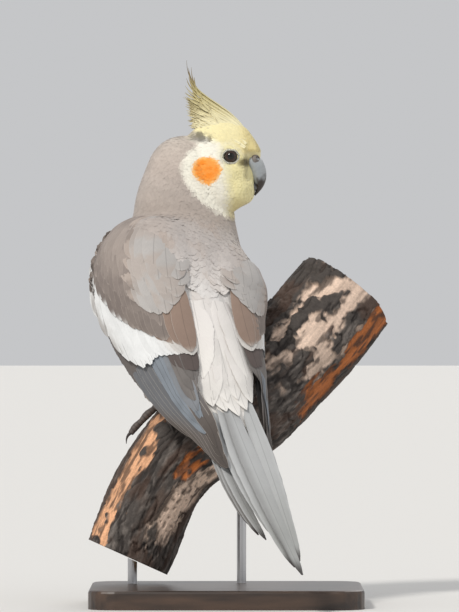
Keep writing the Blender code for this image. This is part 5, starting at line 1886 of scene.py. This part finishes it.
def make_lids(name, side, lid_skin):
    """Two lids round an almond opening, with small folds."""
    centre, outward, ahead, up = eye_axes(side)
    around, tube = 160, 20
    theta = circle_of(around)[:, None]
    phi = circle_of(tube)[None]
    almond = 1 + 0.07 * np.cos(2 * theta) ** 5 + 0.025 * np.cos(2 * theta)
    radius_x = LID_APERTURE[0] * almond
    radius_y = LID_APERTURE[1] * almond
    fold = 1 + 0.22 * np.sin(theta * LID_BUDS) * ramp(np.cos(phi), -0.2, 0.6)
    thick = LID_THICKNESS * fold * (1 - 0.25 * np.abs(np.cos(theta)) ** 6)
    out = np.cos(phi) * thick * 1.35
    lift = np.sin(phi) * thick * 0.95
    # The rims drop towards the head at the corners and where they meet the feathers
    base = LID_OUT - 0.25 * np.abs(np.cos(theta)) ** 3
    x = np.cos(theta) * (radius_x + out)
    y = np.sin(theta) * (radius_y + out)
    z = base + lift - ramp(np.cos(phi), 0.2, 1) * 0.5
    points = centre + x[..., None] * ahead + y[..., None] * up + z[..., None] * outward
    # Small pale buds stand round the lids' outer side
    buds = ramp(np.sin(theta * LID_BUDS) + 0 * phi, -0.4, 0.5) * ramp(np.cos(phi) + 0 * theta, -0.75, -0.3)
    colour = mix(LID_DARK, LID_TONE, buds[..., None])
    inner = ramp(-np.cos(phi) + 0 * theta, 0.5, 0.9)
    colour = mix(colour, LID_DARK * 0.5, inner[..., None])
    faces = grid_faces(around + 1, tube) % (around * tube)
    lids = make_mesh("lids_" + name, points.reshape(-1, 3), [faces], tint=colour.reshape(-1, 3))
    dress(fix_normals(lids), lid_skin, "plumage_face")


# Crest: plumes from front to back along rows beside the middle of the crown. Roots, bends and tips are
# how far back in the row, then the place along the gaze and the height.
CREST_ROOTS = ((0, 13.5, 13.5), (0.15, 10.0, 16.0), (0.5, 1.0, 19.5), (1, -10.5, 16.0))
CREST_RISES = ((0, 3.0, 33.5), (0.15, 0.5, 31.0), (0.5, -5.5, 27.5), (1, -12.5, 19.0))
CREST_BENDS = ((0, -19.0, 31.0), (0.15, -15.5, 32.0), (0.5, -15.0, 27.5), (1, -15.0, 18.5))
CREST_TIPS = (
    (0, -19.2, 53.5),
    (0.05, -19.9, 50.0),
    (0.1, -21.0, 43.5),
    (0.17, -21.8, 38.5),
    (0.35, -21.3, 34.0),
    (0.55, -20.6, 29.5),
    (0.8, -19.4, 23.0),
    (1, -18.0, 17.0),
)
# Distance from the middle, share of the full length, number of plumes and width, on both sides
CREST_ROWS = (
    (0.0, 1.0, 20, 2.5),
    (1.2, 0.97, 20, 2.5),
    (2.5, 0.9, 20, 2.4),
    (3.9, 0.78, 18, 2.4),
    (5.4, 0.64, 16, 2.3),
    (7.0, 0.52, 14, 2.3),
    (8.6, 0.44, 13, 2.3),
    (10.2, 0.36, 12, 2.3),
)
CREST_VANE_ROWS = 26
CREST_FLATTER = 0.055
CREST_COLUMNS = (-1, -0.5, 0, 0.5, 1)
CREST_LOW = srgb(234, 225, 184)
CREST_MIDDLE = srgb(198, 186, 134)
CREST_HIGH = srgb(148, 130, 96)
CREST_TIP = srgb(108, 86, 70)
CREST_TONES = (
    (0, *CREST_LOW),
    (0.25, *mix(CREST_LOW, CREST_MIDDLE, 0.6)),
    (0.5, *CREST_MIDDLE),
    (0.75, *CREST_HIGH),
    (1, *CREST_TIP),
)


def make_crest():
    places, shape = vane_rows(PLUME_TIP, CREST_VANE_ROWS)
    lines, facing, widths, tints = [], [], [], []
    rows = [(side * row, *rest) for row, *rest in CREST_ROWS for side in ((1, -1) if row else (1,))]
    for row, share, count, width in rows:
        k = np.linspace(0, 1, count) ** 0.9
        k = np.clip(k + random.normal(0, 0.02, count), 0, 1)
        root, rise, bend, tip = (smooth_at(t, k) for t in (CREST_ROOTS, CREST_RISES, CREST_BENDS, CREST_TIPS))
        size = (share * random.uniform(mix(0.95, 0.8, k), 1.0))[:, None]
        # The plumes beside the middle ones lie flatter along the head
        size = size * np.array((1.0, 1 - CREST_FLATTER * abs(row)))
        rise, bend, tip = (root + (p - root) * size for p in (rise, bend, tip))
        tip = tip + random.normal(0, 0.4, (count, 2))
        sunk = np.array((0.0, 0.075 * row**2))
        t = places[None, :, None]
        corners = (root, rise, bend, tip)
        weights = ((1 - t) ** 3, 3 * t * (1 - t) ** 2, 3 * t**2 * (1 - t), t**3)
        spot = sum(corner[:, None] * weight for corner, weight in zip(corners, weights)) - sunk
        gather = mix(0.25, 0.9, min(abs(row) / 9, 1))
        side = row * mix(1, gather, places)[None] + random.normal(0, 0.3, (count, 1)) * places[None]
        line = head_point(spot[..., 0], side, spot[..., 1])
        lines.append(line)
        lean = (0.5 + 0.25 * abs(row)) * (np.sign(row) or 1) + random.normal(0, 0.14, count)
        face = HEAD_RIGHT * lean[:, None, None] + UP + GAZE * 0.5
        facing.append(np.broadcast_to(face, line.shape))
        loose = random.uniform(0.9, 1.1, count)[:, None]
        widths.append(width * shape[None] * loose * (1 + random.normal(0, 0.06, (count, len(places)))))
        high = np.clip((spot[..., 1] - 20) / 34, 0, 1)
        colour = smooth_at(CREST_TONES, high)
        colour = mix(colour, CREST_HIGH, (ramp(places, 0.75, 1.0) * 0.45)[None, :, None])
        s = columns_of(CREST_COLUMNS)
        shaft = 1 - ramp(np.abs(s), 0.05, 0.45)
        tint = colour[:, :, None] * (1 - 0.12 * shaft)[None, None, :, None]
        tints.append(tint * random.normal(1, 0.045, (count, 1, 1, 1)))
    parts = [np.concatenate(part) for part in (lines, facing, widths, tints)]
    made = feather_material("crest_finish")
    feathers_in("crest_plumes", (*parts, 0.0), CREST_COLUMNS, 0.1, 0.12, 14, made, "plumage_crest", "crest")


# Feet: each toe runs along and round the branch from the foot's middle
SHANK_RADII = (1.9, 1.8, 2.0, 2.5)
FOOT_PAD = (3.3, 3.3, 2.4)
TOE_RADII = (2.15, 1.7)
TOE_KNUCKLES = 3
TOE_KNUCKLE_SWELL = 0.18
TOE_WAIST = 0.9
TOE_SINK = 0.75
TOE_CLEARANCE = 0.35
LONG_TOE = 16
LONG_TOE_LIFT = 3.2
CLAW_LENGTH = 6.4
CLAW_RADII = (1.05, 0.16)
CLAW_ARCH = 0.9
CLAW_DROP = 2.2
CLAW_SINK = 0.8
FOOT_TONE = srgb(86, 76, 71)
FOOT_CREASE = srgb(48, 42, 40)
CLAW_TONE = srgb(58, 51, 48)


def scaly_tube(name, points, radii, scales, tone, crease):
    """A tube with overlapping scales across it."""
    sides = 24
    count = len(points)
    rings = tube_rings(points, radii, sides)
    t = np.linspace(0, 1, count)[:, None]
    step = (t * scales) % 1
    angle = circle_of(sides)[None]
    swell = (0.09 * np.sin(step * math.pi) ** 0.6 - 0.05) * (0.6 + 0.4 * np.cos(angle * 2) ** 2)
    centre = points[:, None]
    rings = centre + (rings - centre) * (1 + swell)[..., None]
    seams = 1 - ramp(np.minimum(step, 1 - step), 0.03, 0.2) + 0 * angle
    colour = mix(tone, crease, (seams * 0.85)[..., None])
    colour = colour * (0.8 + 0.4 * layered_noise(rings, 1.3, 19))[..., None]
    return fix_normals(loft_mesh(name, rings, colour))


def toe_lines(foot, run):
    """Points and radii of a toe and of its claw."""
    along, angle = foot["stand"]
    t = np.linspace(0, 1, 64)
    swell = TOE_KNUCKLE_SWELL * np.sin(t * TOE_KNUCKLES * math.pi) ** 2
    radii = mix(*TOE_RADII, t) * (TOE_WAIST + swell)
    lift = LONG_TOE_LIFT if abs(run[0]) > LONG_TOE else 0
    height = radii * TOE_SINK + TOE_CLEARANCE + lift * t
    toe = perch_surface(along + run[0] * t, np.radians(angle + run[1] * t), height)
    ahead = unit(toe[-1] - toe[-8])
    outward = unit(toe[-1] - perch_frame(np.array(float(along + run[0])))[0])
    s = np.linspace(0, 1, 30)
    arch = CLAW_ARCH * np.sin(s * math.pi * 0.75) - CLAW_DROP * s**2
    claw = toe[-1] + np.outer(CLAW_LENGTH * s - CLAW_SINK, ahead) + np.outer(arch, outward)
    radii = np.concatenate((radii[:-1], radii[-1:] * 0.8))
    return toe, radii, claw, mix(*CLAW_RADII, s)


def make_feet():
    made = tinted_material("foot_finish", 0.6, 0.5, 0.1, 0.35)
    for name, foot in FEET.items():
        _, _, end, ankle, sole = leg_points(name)
        key = np.array((0, 1 / 3, 2 / 3, 1))
        table = np.array((end, ankle, mix(ankle, sole, 0.6), sole))
        steps = np.linspace(0, 1, 40)
        line = smooth_at([(k, *p) for k, p in zip(key, table)], steps)
        radii = smooth_at([(k, r) for k, r in zip(key, SHANK_RADII)], steps)[:, 0]
        pieces = [scaly_tube("shank", line, radii, 9, FOOT_TONE, FOOT_CREASE)]
        d = sphere_points(40, 24)
        pad = sole + (d[..., :1] * BODY_RIGHT + d[..., 1:2] * np.cross(BODY_RIGHT, UP)) * FOOT_PAD[0]
        pad = pad + d[..., 2:] * UP * FOOT_PAD[2]
        colour = FOOT_TONE * (0.7 + 0.5 * layered_noise(pad, 1.1, 2))[..., None]
        pieces.append(fix_normals(loft_mesh("pad", pad, colour)))
        for run in foot["toes"]:
            toe, toe_radii, claw, claw_radii = toe_lines(foot, run)
            pieces.append(scaly_tube("toe", toe, toe_radii, 12, FOOT_TONE, FOOT_CREASE))
            rings = tube_rings(claw, claw_radii, 16)
            shade = CLAW_TONE * (0.8 + 0.4 * noise(rings, 1.5, 9))[..., None]
            pieces.append(fix_normals(loft_mesh("claw", rings, shade)))
        dress(join("toes_" + name, pieces), made, "foot_skin", "foot_" + name)


def finish_skin(skin, points):
    """Gives the skin the coat's colours, darkened as painted shade under the feathers, and sets it in place
    of the bare solids.
    """
    set_tint(skin.data, body_tones(points) * SKIN_SHADE)
    made = tinted_material("skin_finish", 0.85, 1.5, 0.06, 0.3)
    dress(skin, made, "plumage_grey", "head", "neck", "torso", "leg_left", "leg_right")


def main():
    make_stage()
    make_stand()
    make_perch()
    skin, points = make_skin()
    finish_skin(skin, points)
    make_coat(skin)
    make_wings()
    make_tail()
    make_bill()
    make_eyes()
    make_crest()
    make_feet()


main()
